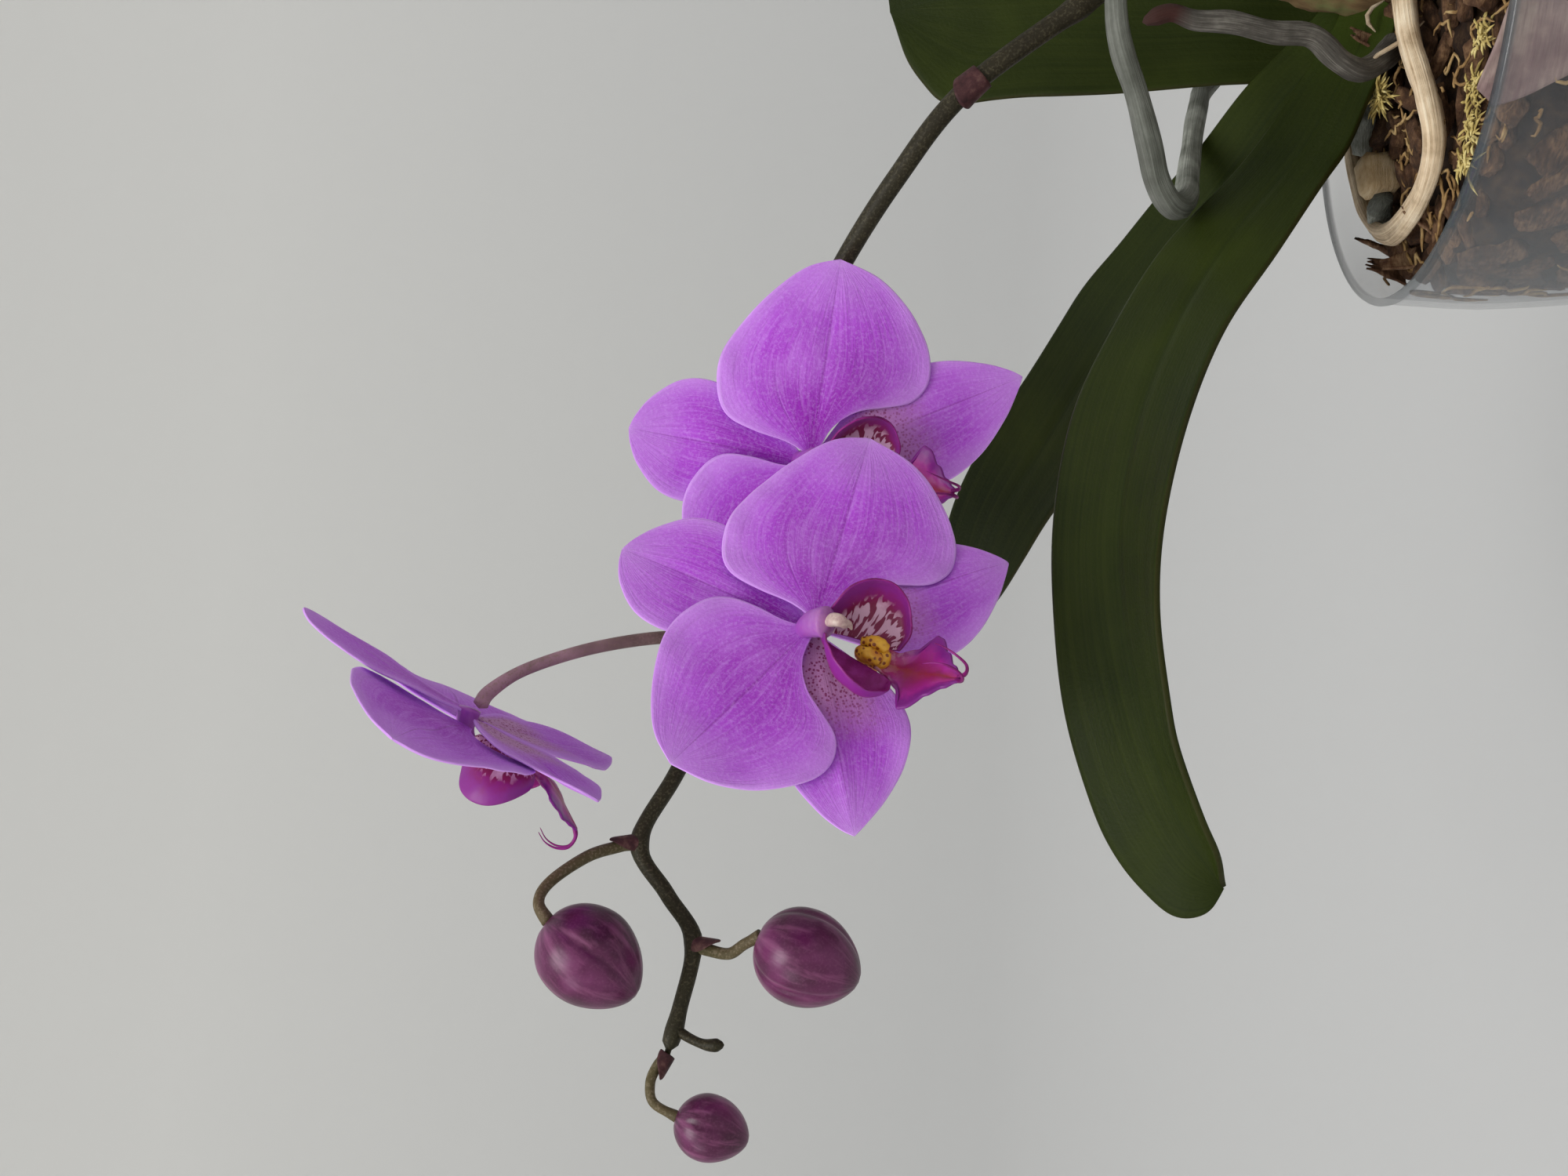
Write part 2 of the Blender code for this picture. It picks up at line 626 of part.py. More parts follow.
def build_stalks(frames):
    back = 0.0020 + SEPAL_THICKNESS + GAP
    over = 104 + 1000 * PETAL_LENGTH  # the front flower's stalk arches over the middle flower's petal
    for name, points in (
        ("flower_front", [at(-122, 40.5, 129), at(-123, 31, over - 3), at(-124, 18, over),
                          at(-126, 4, over - 4), at(-130, -8, 126)]),
        ("flower_middle", [at(-87, 35, 120), at(-94, 31, 117.5)]),
        ("flower_top", [at(-136, 40, 129.5), at(-136, 36, 139), at(-139, 31, 153), at(-144, 27, 166),
                        at(-149, 25, 173)]),
    ):
        frame = frames[name]
        face = frame.to_3x3() @ Vector((0, 0, 1))
        pedicel(name + "_pedicel", points, frame.translation, face, back)

    bud_rows = [
        ("bud_1", [at(-180, 31, 145), at(-182, 28, 151), at(-187, 24, 158), at(-191, 21, 160)],
         at(-194.5, 19, 158), Vector((-13, -2, -18))),
        ("bud_2", [at(-199.5, 25, 124.5), at(-199.5, 22.5, 120.5), at(-197, 20.5, 117.5)],
         at(-195, 19, 115), Vector((-8, -4, -22))),
        ("bud_3", [at(-223.5, 21.5, 134), at(-226.5, 20, 135), at(-230, 18.5, 134)],
         at(-232.2, 17, 129.4), Vector((-4, -2, -16))),
    ]
    for name, points, top, direction in bud_rows:
        pedicel(name + "_pedicel", points, top, direction, GAP * 3)
        bud(name, top, direction)
    tube(
        "aborted_bud", [at(-217, 20, 127), at(-217.5, 18, 124), at(-217, 17, 121)],
        PEDICEL_RADIUS, SPIKE_OLIVE, end_share=1.1, tip_share=0.5,
    )

    before, node, after = SPIKE_ROUTE[4:7]
    ring("spike_sheath", node, after - before, SPIKE_RADIUS + GAP * 1.5, 0.005, BRACT_PURPLE)
    for name, foot, direction in (
        ("bract_flower_top", at(-132.6, 38, 130.5), Vector((-1.0, -1.5, 8))),
        ("bract_bud_1", at(-176.2, 31, 142.5), Vector((-1.8, 0, 7))),
        ("bract_bud_2", at(-202.2, 26, 125.0), Vector((0.4, 0, -6))),
        ("bract_bud_3", at(-221.5, 19, 130.5), Vector((-6, -1, 1.0))),
    ):
        scale_bract(name, foot, direction, 0.0060, 0.0012)


def main():
    build_pot()
    build_medium()
    build_stem()
    build_litter()
    build_dead_leaf()
    build_roots()
    build_leaves()
    build_spike()
    frames = {name: build_flower(name, *row) for name, row in FLOWERS.items()}
    build_stalks(frames)


main()
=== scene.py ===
"""A moth orchid in a clear plastic pot: three open flowers, three buds, four strap leaves and
the roots that climb over the rim.  Metres, +Z up, the pot's underside at the origin."""
import bisect
import math
import random

import bpy
from mathutils import Matrix, Vector, noise


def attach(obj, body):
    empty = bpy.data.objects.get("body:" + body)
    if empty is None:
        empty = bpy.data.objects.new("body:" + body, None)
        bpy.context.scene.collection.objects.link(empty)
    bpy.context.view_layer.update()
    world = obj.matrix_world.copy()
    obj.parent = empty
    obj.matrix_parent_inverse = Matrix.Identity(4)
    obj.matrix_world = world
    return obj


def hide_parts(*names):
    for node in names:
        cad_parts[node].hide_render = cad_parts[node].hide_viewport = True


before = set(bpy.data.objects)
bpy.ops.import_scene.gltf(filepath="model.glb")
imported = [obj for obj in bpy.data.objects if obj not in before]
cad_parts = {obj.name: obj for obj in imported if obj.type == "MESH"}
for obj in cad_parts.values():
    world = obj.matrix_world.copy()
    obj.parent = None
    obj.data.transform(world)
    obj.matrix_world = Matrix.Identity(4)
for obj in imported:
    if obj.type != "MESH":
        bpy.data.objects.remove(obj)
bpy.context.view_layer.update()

# --- Studio ---------------------------------------------------------------------------------
# A pale floor that sweeps up into a round wall, one large soft light from above and a weak one
# from the left.  The camera is turned on its side, so that the plant lies across the frame.
bpy.ops.object.select_all(action="DESELECT")
scene = bpy.context.scene
scene.view_settings.view_transform = "Standard"


def node(tree, kind, setup=None, **inputs):
    """Adds a shader node.  A value that is a socket is linked, and any other is set."""
    made = tree.nodes.new("ShaderNode" + kind)
    for name, value in (setup or {}).items():
        setattr(made, name, value)
    for name, value in inputs.items():
        socket = made.inputs[name.replace("_", " ")]
        if isinstance(value, bpy.types.NodeSocket):
            tree.links.new(value, socket)
        else:
            socket.default_value = value
    return made


def new_material(name, **values):
    material = bpy.data.materials.new(name)
    material.use_nodes = True
    shader = material.node_tree.nodes["Principled BSDF"]
    for key, value in values.items():
        shader.inputs[key.replace("_", " ")].default_value = value
    return material, material.node_tree, shader


def only(obj):
    """Makes obj the one selected and active object."""
    bpy.ops.object.select_all(action="DESELECT")
    obj.select_set(True)
    bpy.context.view_layer.objects.active = obj
    return obj


def on_all_faces(obj, operator, **values):
    """Runs one edit operator on the whole mesh."""
    only(obj)
    bpy.ops.object.mode_set(mode="EDIT")
    bpy.ops.mesh.select_all(action="SELECT")
    operator(**values)
    bpy.ops.object.mode_set(mode="OBJECT")


def raised(name, sides, rings):
    """A circle drawn up ring by ring: each (radius, height) is extruded from the last."""
    bpy.ops.object.select_all(action="DESELECT")
    radius, height = rings[0]
    bpy.ops.mesh.primitive_circle_add(vertices=sides, radius=radius, location=(0, 0, height))
    obj = bpy.context.object
    obj.name = name
    bpy.ops.object.transform_apply(location=True, rotation=False, scale=False)
    bpy.ops.object.mode_set(mode="EDIT")
    bpy.ops.mesh.select_all(action="SELECT")
    for ring_radius, ring_height in rings[1:]:
        rise = (0, 0, ring_height - height)
        bpy.ops.mesh.extrude_region_move(TRANSFORM_OT_translate={"value": rise})
        share = ring_radius / radius
        bpy.ops.transform.resize(value=(share, share, 1), center_override=(0, 0, ring_height))
        radius, height = ring_radius, ring_height
    bpy.ops.object.mode_set(mode="OBJECT")
    return obj


def object_place(tree):
    return node(tree, "TexCoord").outputs["Object"]


def ramp(tree, factor, *stops):
    """A colour ramp of (position, (r, g, b)) stops."""
    made = node(tree, "ValToRGB", Fac=factor)
    elements = made.color_ramp.elements
    while len(elements) < len(stops):
        elements.new(0.5)
    for element, (position, colour) in zip(elements, stops):
        element.position = position
        element.color = (*colour, 1.0)
    return made.outputs["Color"]


STUDIO_RADIUS = 2.6
STUDIO_HEIGHT = 3.0
COVE = 1.2
FLAT = STUDIO_RADIUS - COVE
cove = [(FLAT + COVE * math.sin(a * math.pi / 16), COVE - COVE * math.cos(a * math.pi / 16)) for a in range(1, 9)]
floor = raised("studio_floor", 96, [(0.001, 0.0), (FLAT, 0.0), *cove, (STUDIO_RADIUS, STUDIO_HEIGHT)])
floor.data.shade_smooth()
on_all_faces(floor, bpy.ops.mesh.normals_make_consistent, inside=True)
paper, tree, shader = new_material("studio_paper", Roughness=0.9)
# Painted shade: the floor is coloured darker than the wall above it, the tone rising with height.
high = node(tree, "SeparateXYZ", Vector=object_place(tree)).outputs["Z"]
tone = ramp(tree, high, (0.0, (0.53, 0.53, 0.525)), (0.9, (0.68, 0.675, 0.655)))
tree.links.new(tone, shader.inputs["Base Color"])
floor.data.materials.append(paper)

world = bpy.data.worlds.new("soft_room")
world.use_nodes = True
world.node_tree.nodes["Background"].inputs["Color"].default_value = (0.96, 0.98, 1.0, 1)
world.node_tree.nodes["Background"].inputs["Strength"].default_value = 0.69
scene.world = world


def soft_light(name, place, aim, size, power, colour):
    bpy.ops.object.light_add(type="AREA", location=place)
    light = bpy.context.object
    light.name = name
    light.data.shape = "DISK"
    light.data.size = size
    light.data.energy = power
    light.data.color = colour
    light.rotation_euler = (Vector(aim) - Vector(place)).to_track_quat("-Z", "Y").to_euler()


soft_light("window", (-0.62, -1.50, 2.70), (-0.08, 0, 0.2), 1.8, 49, (1.0, 0.99, 0.97))
soft_light("fill", (-2.00, -1.20, 1.30), (-0.08, 0, 0.22), 1.2, 8, (0.95, 0.97, 1.0))

bpy.ops.object.camera_add()
camera = bpy.context.object
camera.data.lens = 50.0
camera.data.sensor_width = 36.0
camera.data.clip_start = 0.02
camera.data.clip_end = 20.0
ACROSS = Vector((0.06296, -0.03991, -0.99722))
UPWARD = Vector((0.99802, 0.00252, 0.06291))
TOWARDS = Vector((0.0, -0.99920, 0.03999))
camera.matrix_world = (
    Matrix.Translation((-0.12388, -0.42436, 0.25690)) @ Matrix((ACROSS, UPWARD, TOWARDS)).transposed().to_4x4()
)
scene.camera = camera

# --- Pot ------------------------------------------------------------------------------------
# A thin clear polystyrene grow pot, injection moulded: a plain tapering cup with an upright
# shoulder, a narrow bead round the rim, a recessed foot and eight drain holes.
POT_HEIGHT = 0.125
RIM_RADIUS = 0.060
BASE_RADIUS = 0.042
SHOULDER_HEIGHT = POT_HEIGHT - 0.018
POT_WALL = 0.0012
POT_FLOOR = 0.0016


def mix(tree, factor, first, second):
    """Mixes two colours, each a socket or an (r, g, b) value."""
    made = node(tree, "Mix", {"data_type": "RGBA"})
    for socket, value in ((made.inputs[0], factor), (made.inputs[6], first), (made.inputs[7], second)):
        if isinstance(value, bpy.types.NodeSocket):
            tree.links.new(value, socket)
        else:
            socket.default_value = (*value, 1.0) if isinstance(value, tuple) else value
    return made.outputs[2]


def span(tree, value, low, high, to_low=0, to_high=1):
    """Maps low..high of a value to to_low..to_high, and stops at both ends."""
    made = node(tree, "MapRange", Value=value, From_Min=low, From_Max=high, To_Min=to_low, To_Max=to_high)
    return made.outputs[0]


def fill(tree, made, sockets, values):
    """Links or sets the numbered input sockets of a node."""
    for number, value in zip(sockets, values):
        if isinstance(value, bpy.types.NodeSocket):
            tree.links.new(value, made.inputs[number])
        else:
            made.inputs[number].default_value = value
    return made.outputs[0]


def maths(tree, operation, *values):
    return fill(tree, node(tree, "Math", {"operation": operation}), range(3), values)


def blend_values(tree, factor, first, second):
    return fill(tree, node(tree, "Mix", {"data_type": "FLOAT"}), (0, 2, 3), (factor, first, second))


def cloudy(tree, place, scale, detail=2, roughness=0.5, distortion=0):
    made = node(tree, "TexNoise", Vector=place, Scale=scale, Detail=detail, Roughness=roughness,
                Distortion=distortion)
    return made.outputs["Fac"]


def pot_radius(height):
    """Outer radius: a belly that opens out to an upright shoulder."""
    share = 1.0 - min(1.0, max(0.0, height) / SHOULDER_HEIGHT)
    return BASE_RADIUS + (RIM_RADIUS - BASE_RADIUS) * (1.0 - share**1.25)


def apply_modifier(obj, kind, **values):
    only(obj)
    made = obj.modifiers.new(kind.lower(), kind)
    for name, value in values.items():
        setattr(made, name, value)
    bpy.ops.object.modifier_apply(modifier=made.name)


def tidy_mesh(obj):
    """Merges doubles and turns the faces of a closed shell outwards."""
    on_all_faces(obj, bpy.ops.mesh.remove_doubles, threshold=0.000005)
    on_all_faces(obj, bpy.ops.mesh.normals_make_consistent, inside=False)


def finished(obj, material, slot, *nodes):
    """Smooths the piece, gives it its finish (or keeps its own) and hands it over to the frame."""
    if material:
        obj.data.materials.clear()
        obj.data.materials.append(material)
        for polygon in obj.data.polygons:
            polygon.material_index = 0
    obj.data.shade_smooth()
    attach(obj, "root")
    if nodes:
        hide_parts(*nodes)
    return obj


BEAD = 0.0007
BEAD_ALPHA = 0.55
BEAD_BELOW_RIM = 0.0016
heights = [0.0016 + (POT_HEIGHT - 0.0040 - 0.0016) * i / 21 for i in range(22)]
outside = [(pot_radius(z), z) for z in heights]
rim_turn = [(RIM_RADIUS + BEAD * math.sin(a) - 0.0002, POT_HEIGHT - BEAD_BELOW_RIM - BEAD * math.cos(a)) for a in
            (0.4, 1.0, 1.7, 2.4, 2.9)]
inside = [(pot_radius(z) - POT_WALL, z) for z in reversed(heights) if z > POT_FLOOR + 0.001]
foot = [(0.010, 0.0008), (0.036, 0.0008), (0.0375, 0.0), (BASE_RADIUS - 0.0010, 0.0), (BASE_RADIUS - 0.0002, 0.0005)]
rim_in = [(RIM_RADIUS - POT_WALL + 0.0003, POT_HEIGHT - 0.0004), (RIM_RADIUS - POT_WALL, POT_HEIGHT - 0.0012)]
corner = pot_radius(POT_FLOOR) - POT_WALL - 0.0010
rings = [*foot, *outside, *rim_turn, *rim_in, *inside, (corner, POT_FLOOR + 0.0003), (corner - 0.001, POT_FLOOR),
         (0.010, POT_FLOOR)]
pot = raised("clear_pot", 96, rings)
on_all_faces(pot, bpy.ops.mesh.fill_holes, sides=0)
tidy_mesh(pot)
DRAIN_CIRCLE = 0.74 * BASE_RADIUS
for hole in range(8):
    turn = math.pi / 4 * hole
    spot = (DRAIN_CIRCLE * math.cos(turn), DRAIN_CIRCLE * math.sin(turn), 0.001)
    bpy.ops.mesh.primitive_cylinder_add(vertices=20, radius=0.0032, depth=0.01, location=spot)
    cutter = bpy.context.object
    apply_modifier(pot, "BOOLEAN", operation="DIFFERENCE", object=cutter, solver="EXACT")
    bpy.data.objects.remove(cutter)

plastic, tree, shader = new_material("clear_plastic", Roughness=0.14, IOR=1.49, Specular_IOR_Level=0.6)
place = object_place(tree)
smudge = cloudy(tree, place, 38, 4, 0.6)
haze = span(tree, smudge, 0.35, 0.75, 0.0, 0.05)
edge = node(tree, "LayerWeight", Blend=0.30).outputs["Facing"]
alpha = maths(tree, "ADD", span(tree, edge, 0.0, 1.0, 0.035, 0.42), haze)
height = node(tree, "SeparateXYZ", Vector=place).outputs["Z"]
# Painted shade: the bead round the rim is coloured dark grey and made less see-through, for the dark line its thick
# clear edge shows.
bead_shade_share = span(tree, height, POT_HEIGHT - 0.0022, POT_HEIGHT - BEAD_BELOW_RIM)
tree.links.new(blend_values(tree, bead_shade_share, alpha, BEAD_ALPHA), shader.inputs["Alpha"])
tree.links.new(mix(tree, bead_shade_share, (0.36, 0.38, 0.40), (0.07, 0.085, 0.095)), shader.inputs["Base Color"])
tree.links.new(span(tree, smudge, 0.3, 0.7, 0.07, 0.28), shader.inputs["Roughness"])
finished(pot, plastic, "clear_plastic", "pot")

# --- Potting medium -------------------------------------------------------------------------
# Coarse fir bark with dry sphagnum and coir fibres, packed to just under the rim.  Chips and
# fibres press against the clear wall, and the dark gaps between them are painted shade: a
# near-black mass that fills the pot under the chips.
MEDIUM_CLEARANCE = 0.0018
MEDIUM_EDGE = POT_HEIGHT - 0.009
MEDIUM_MOUND = 0.009
MEDIUM_RADIUS = RIM_RADIUS - POT_WALL - MEDIUM_CLEARANCE


def medium_top(x, y):
    """Height of the medium: a low mound."""
    share = min(1.0, math.hypot(x, y) / MEDIUM_RADIUS)
    return MEDIUM_EDGE + MEDIUM_MOUND * (1.0 - share**2.4)


def surfaced(tree, shader, colour, height, strength, distance):
    """Gives the shader its colour and, by a bump, its relief."""
    tree.links.new(colour, shader.inputs["Base Color"])
    bump = node(tree, "Bump", Height=height, Strength=strength, Distance=distance)
    tree.links.new(bump.outputs["Normal"], shader.inputs["Normal"])


def stretched(tree, place, scale):
    return node(tree, "Mapping", Vector=place, Scale=scale).outputs["Vector"]


def rubbed_material(name, dark, mid, light, scale, roughness=0.9, depth=0.0006, stretch=(1, 1, 1)):
    """A rough natural finish: three tones in broad patches, with fine fibres and bumps."""
    material, tree, shader = new_material(name, Roughness=roughness, Specular_IOR_Level=0.25)
    place = object_place(tree)
    drawn = stretched(tree, place, stretch)
    broad = node(tree, "TexNoise", Vector=place, Scale=scale * 0.35, Detail=3, Roughness=0.6)
    fine = node(tree, "TexNoise", Vector=drawn, Scale=scale, Detail=6, Roughness=0.68)
    both = mix(tree, 0.5, broad.outputs["Color"], fine.outputs["Color"])
    tone = node(tree, "SeparateColor", Color=both).outputs["Red"]
    surfaced(tree, shader, ramp(tree, tone, (0.36, dark), (0.50, mid), (0.66, light)), fine.outputs["Fac"], 0.8,
             depth)
    return material


heights = [0.0025 + (MEDIUM_EDGE - 0.006 - 0.0025) * i / 30 for i in range(31)]
rings = [(pot_radius(z) - 0.0050, z) for z in heights]
rings += [(MEDIUM_RADIUS * share, medium_top(MEDIUM_RADIUS * share, 0) - 0.003) for share in
          (0.92, 0.84, 0.75, 0.66, 0.57, 0.48, 0.39, 0.30, 0.21, 0.12, 0.05)]
medium = raised("potting_medium_mass", 96, rings)
on_all_faces(medium, bpy.ops.mesh.fill_holes, sides=0)
tidy_mesh(medium)
for vertex in medium.data.vertices:
    rough = noise.fractal(vertex.co * 190, 0.8, 2.1, 4) * 0.0022
    outward = Vector((vertex.co.x, vertex.co.y, 0)).normalized()
    if vertex.co.z > 0.004:
        vertex.co += outward * rough * 0.5 + Vector((0, 0, rough if vertex.co.z > MEDIUM_EDGE - 0.008 else 0))
# Painted shade for the gaps between chips: the mass is coloured near black, with a little bark brown in it.
gap_shade_mass = rubbed_material("painted_gap_shade", (0.006, 0.003, 0.002), (0.022, 0.011, 0.006), (0.075, 0.042, 0.020), 420)
finished(medium, gap_shade_mass, "bark_and_moss", "potting_medium")


def in_order(obj):
    """Numbers vertices and faces by their places, so that every run splits them alike."""
    places = [tuple(vertex.co) for vertex in obj.data.vertices]
    order = sorted(range(len(places)), key=lambda i: [round(part, 5) for part in places[i]])
    number = {old: new for new, old in enumerate(order)}
    faces = []
    for polygon in obj.data.polygons:
        corners = [number[i] for i in polygon.vertices]
        first = corners.index(min(corners))
        faces.append(corners[first:] + corners[:first])
    obj.data = bpy.data.meshes.new(obj.name)
    obj.data.from_pydata([places[i] for i in order], [], sorted(faces))


def chip(seed):
    """One chip of bark: a block with cut corners, split by coarse and then fine fractal cuts."""
    bpy.ops.object.select_all(action="DESELECT")
    bpy.ops.mesh.primitive_cube_add(size=1)
    obj = bpy.context.object
    on_all_faces(obj, bpy.ops.mesh.bevel, offset=0.16, segments=1)
    for roughness, chance in ((1.1, seed), (0.45, seed + 1)):
        in_order(obj)
        on_all_faces(obj, bpy.ops.mesh.subdivide, number_cuts=1, fractal=roughness, seed=chance)
    return obj


def joined(objects, name):
    bpy.ops.object.select_all(action="DESELECT")
    for obj in objects:
        obj.select_set(True)
    bpy.context.view_layer.objects.active = objects[0]
    bpy.ops.object.join()
    bpy.context.object.name = name
    return bpy.context.object


def scattered(name, models, places):
    """Copies the models to (matrix) places and joins the copies into one piece."""
    copies = []
    for i, matrix in enumerate(places):
        mesh = models[i % len(models)].data.copy()
        mesh.transform(matrix)
        copy = bpy.data.objects.new(name, mesh)
        scene.collection.objects.link(copy)
        copies.append(copy)
    return joined(copies, name)


def turned_place(spot, size, angles):
    turn = Matrix.Rotation(angles[2], 4, "Z") @ Matrix.Rotation(angles[1], 4, "Y") @ Matrix.Rotation(angles[0],
                                                                                                     4, "X")
    return Matrix.Translation(spot) @ turn @ Matrix.Diagonal((*size, 1.0))


draw = random.Random(7)
chips = [chip(seed) for seed in (3, 11, 24, 35, 47)]
wall_places = []
for i in range(430):
    z = draw.uniform(0.006, MEDIUM_EDGE - 0.004)
    turn = draw.uniform(-math.pi, math.pi)
    size = (draw.uniform(0.0022, 0.0034), draw.uniform(0.006, 0.014), draw.uniform(0.003, 0.008))
    radius = pot_radius(z) - POT_WALL - size[0] * 0.75 - draw.uniform(0.0004, 0.0022)
    spot = (radius * math.cos(turn), radius * math.sin(turn), z)
    wall_places.append(turned_place(spot, size, (draw.uniform(-1.2, 1.2), draw.uniform(-0.15, 0.15), turn)))
top_places = []
for i in range(230):
    reach = MEDIUM_RADIUS * math.sqrt(draw.random()) * 0.94
    turn = draw.uniform(-math.pi, math.pi)
    x, y = reach * math.cos(turn), reach * math.sin(turn)
    size = (draw.uniform(0.004, 0.011), draw.uniform(0.003, 0.007), draw.uniform(0.0015, 0.0035))
    spot = (x, y, medium_top(x, y) - 0.0018 + draw.uniform(-0.001, 0.0012))
    tilt = (draw.uniform(-0.5, 0.5), draw.uniform(-0.5, 0.5), draw.uniform(-math.pi, math.pi))
    top_places.append(turned_place(spot, size, tilt))
brown_bark = rubbed_material(
    "brown_bark", (0.018, 0.009, 0.005), (0.075, 0.036, 0.018), (0.23, 0.13, 0.065), 520, stretch=(1, 1, 3)
)
for name, low, high in (("bark_lower_wall", 0.0, MEDIUM_EDGE / 2), ("bark_upper_wall", MEDIUM_EDGE / 2, MEDIUM_EDGE)):
    places = [place for place in wall_places if low <= place.translation.z < high]
    finished(scattered(name, chips, places), brown_bark, "bark_and_moss", "potting_medium")
finished(scattered("bark_on_top", chips, top_places), brown_bark, "bark_and_moss", "potting_medium")
for model in chips:
    bpy.data.objects.remove(model)


def strands(name, lines, radius, ends=0.35, sides=0):
    """Many thin threads in one piece, each thinner at both ends."""
    curve = bpy.data.curves.new(name, "CURVE")
    curve.dimensions = "3D"
    curve.bevel_depth = radius
    curve.bevel_resolution = sides
    curve.use_fill_caps = True
    for line in lines:
        spline = curve.splines.new("POLY")
        spline.points.add(len(line) - 1)
        for i, point in enumerate(line):
            spline.points[i].co = (*point, 1.0)
            share = abs(2 * i / (len(line) - 1) - 1)
            spline.points[i].radius = 1.0 - (1.0 - ends) * share**3
    obj = bpy.data.objects.new(name, curve)
    scene.collection.objects.link(obj)
    only(obj)
    bpy.ops.object.convert(target="MESH")
    return bpy.context.object


def wandering(start, heading, step, count, bend, hold):
    """A curly thread: hold(point) keeps it on its surface."""
    line, spot, way = [], Vector(start), Vector(heading).normalized()
    for i in range(count):
        line.append(hold(spot))
        way = (way + Vector((draw.gauss(0, bend), draw.gauss(0, bend), draw.gauss(0, bend)))).normalized()
        spot = spot + way * step
    return line


def behind_wall(depth):
    def hold(spot):
        z = min(MEDIUM_EDGE + 0.001, max(0.004, spot.z))
        flat = Vector((spot.x, spot.y, 0)).normalized() * (pot_radius(z) - POT_WALL - depth)
        return Vector((flat.x, flat.y, z))
    return hold


def over_top(lift):
    def hold(spot):
        reach = math.hypot(spot.x, spot.y)
        share = min(1.0, 0.93 * MEDIUM_RADIUS / max(reach, 1e-6))
        x, y = spot.x * share, spot.y * share
        return Vector((x, y, medium_top(x, y) + lift))
    return hold


wall_lines, top_lines = [], []
for i in range(330):
    z = draw.uniform(0.006, MEDIUM_EDGE)
    turn = draw.uniform(-math.pi, math.pi)
    start = Vector((math.cos(turn), math.sin(turn), 0)) * pot_radius(z) + Vector((0, 0, z))
    heading = (draw.gauss(0, 1), draw.gauss(0, 1), draw.gauss(0, 1))
    hold = behind_wall(draw.uniform(0.0005, 0.0018))
    wall_lines.append(wandering(start, heading, 0.0016, draw.randint(6, 15), 0.45, hold))
for i in range(260):
    reach = MEDIUM_RADIUS * math.sqrt(draw.random()) * 0.95
    turn = draw.uniform(-math.pi, math.pi)
    start = (reach * math.cos(turn), reach * math.sin(turn), 0)
    hold = over_top(draw.uniform(-0.0005, 0.0016))
    top_lines.append(wandering(start, (draw.gauss(0, 1), draw.gauss(0, 1), 0), 0.0013, draw.randint(5, 12), 0.5,
                               hold))
fibre = rubbed_material("dry_moss_fibre", (0.10, 0.05, 0.018), (0.30, 0.18, 0.07), (0.55, 0.40, 0.19), 300)
finished(strands("moss_behind_wall", wall_lines, 0.00042), fibre, "moss", "potting_medium")
finished(strands("moss_on_top", top_lines, 0.00036), fibre, "moss", "potting_medium")

# --- Loose pieces on the medium -------------------------------------------------------------
# A pale cut block of bark, curled husks by the wall, two dark chips and two tufts of dry star
# moss lie loose on top.  A dry leaf scrap is caught between the medium and the clear wall.
def on_medium(x_share, y_share, lift):
    """A point above the medium, placed by shares of its radius."""
    x, y = x_share * MEDIUM_RADIUS, y_share * MEDIUM_RADIUS
    return Vector((x, y, medium_top(x, y) + lift))


def shaped_chip(name, spot, size, angles, seed, material, slot, *nodes):
    model = chip(seed)
    model.data.transform(turned_place(spot, size, angles))
    model.name = name
    return finished(model, material, slot, *nodes)


pale_wood = rubbed_material(
    "pale_cut_bark", (0.20, 0.11, 0.05), (0.50, 0.35, 0.19), (0.70, 0.56, 0.36), 260, stretch=(1, 1, 6)
)
shaped_chip("bark_block_pale", on_medium(-0.58, 0.20, 0.0025), (0.0085, 0.0065, 0.0075), (0.1, -0.15, 0.3), 5,
            pale_wood, "pale_bark", "bark_chip_pale")
shaped_chip("bark_block_front", on_medium(-0.10, -0.70, 0.0016), (0.013, 0.008, 0.0045), (0.2, 0.1, -0.35), 8,
            brown_bark, "bark_and_moss", "bark_chip_front")
shaped_chip("bark_block_right", on_medium(0.68, 0.14, 0.002), (0.013, 0.009, 0.005), (0.0, 0.2, 0.6), 13,
            brown_bark, "bark_and_moss", "bark_chip_right")


def sheet(name, rows, columns, shape):
    """A grid of faces whose points go where shape(u, v) says: u runs 0 to 1 along it, v -1 to 1 across."""
    bpy.ops.object.select_all(action="DESELECT")
    bpy.ops.mesh.primitive_grid_add(x_subdivisions=rows, y_subdivisions=columns, size=2)
    obj = bpy.context.object
    obj.name = name
    for vertex in obj.data.vertices:
        vertex.co = shape((vertex.co.x + 1) / 2, vertex.co.y)
    return obj


def thick(obj, wall, levels=0):
    """Gives a sheet its thickness, its middle staying where it is, and rounds it."""
    apply_modifier(obj, "SOLIDIFY", thickness=wall, offset=0.0)
    if levels:
        apply_modifier(obj, "SUBSURF", levels=levels, render_levels=levels)
    tidy_mesh(obj)
    return obj


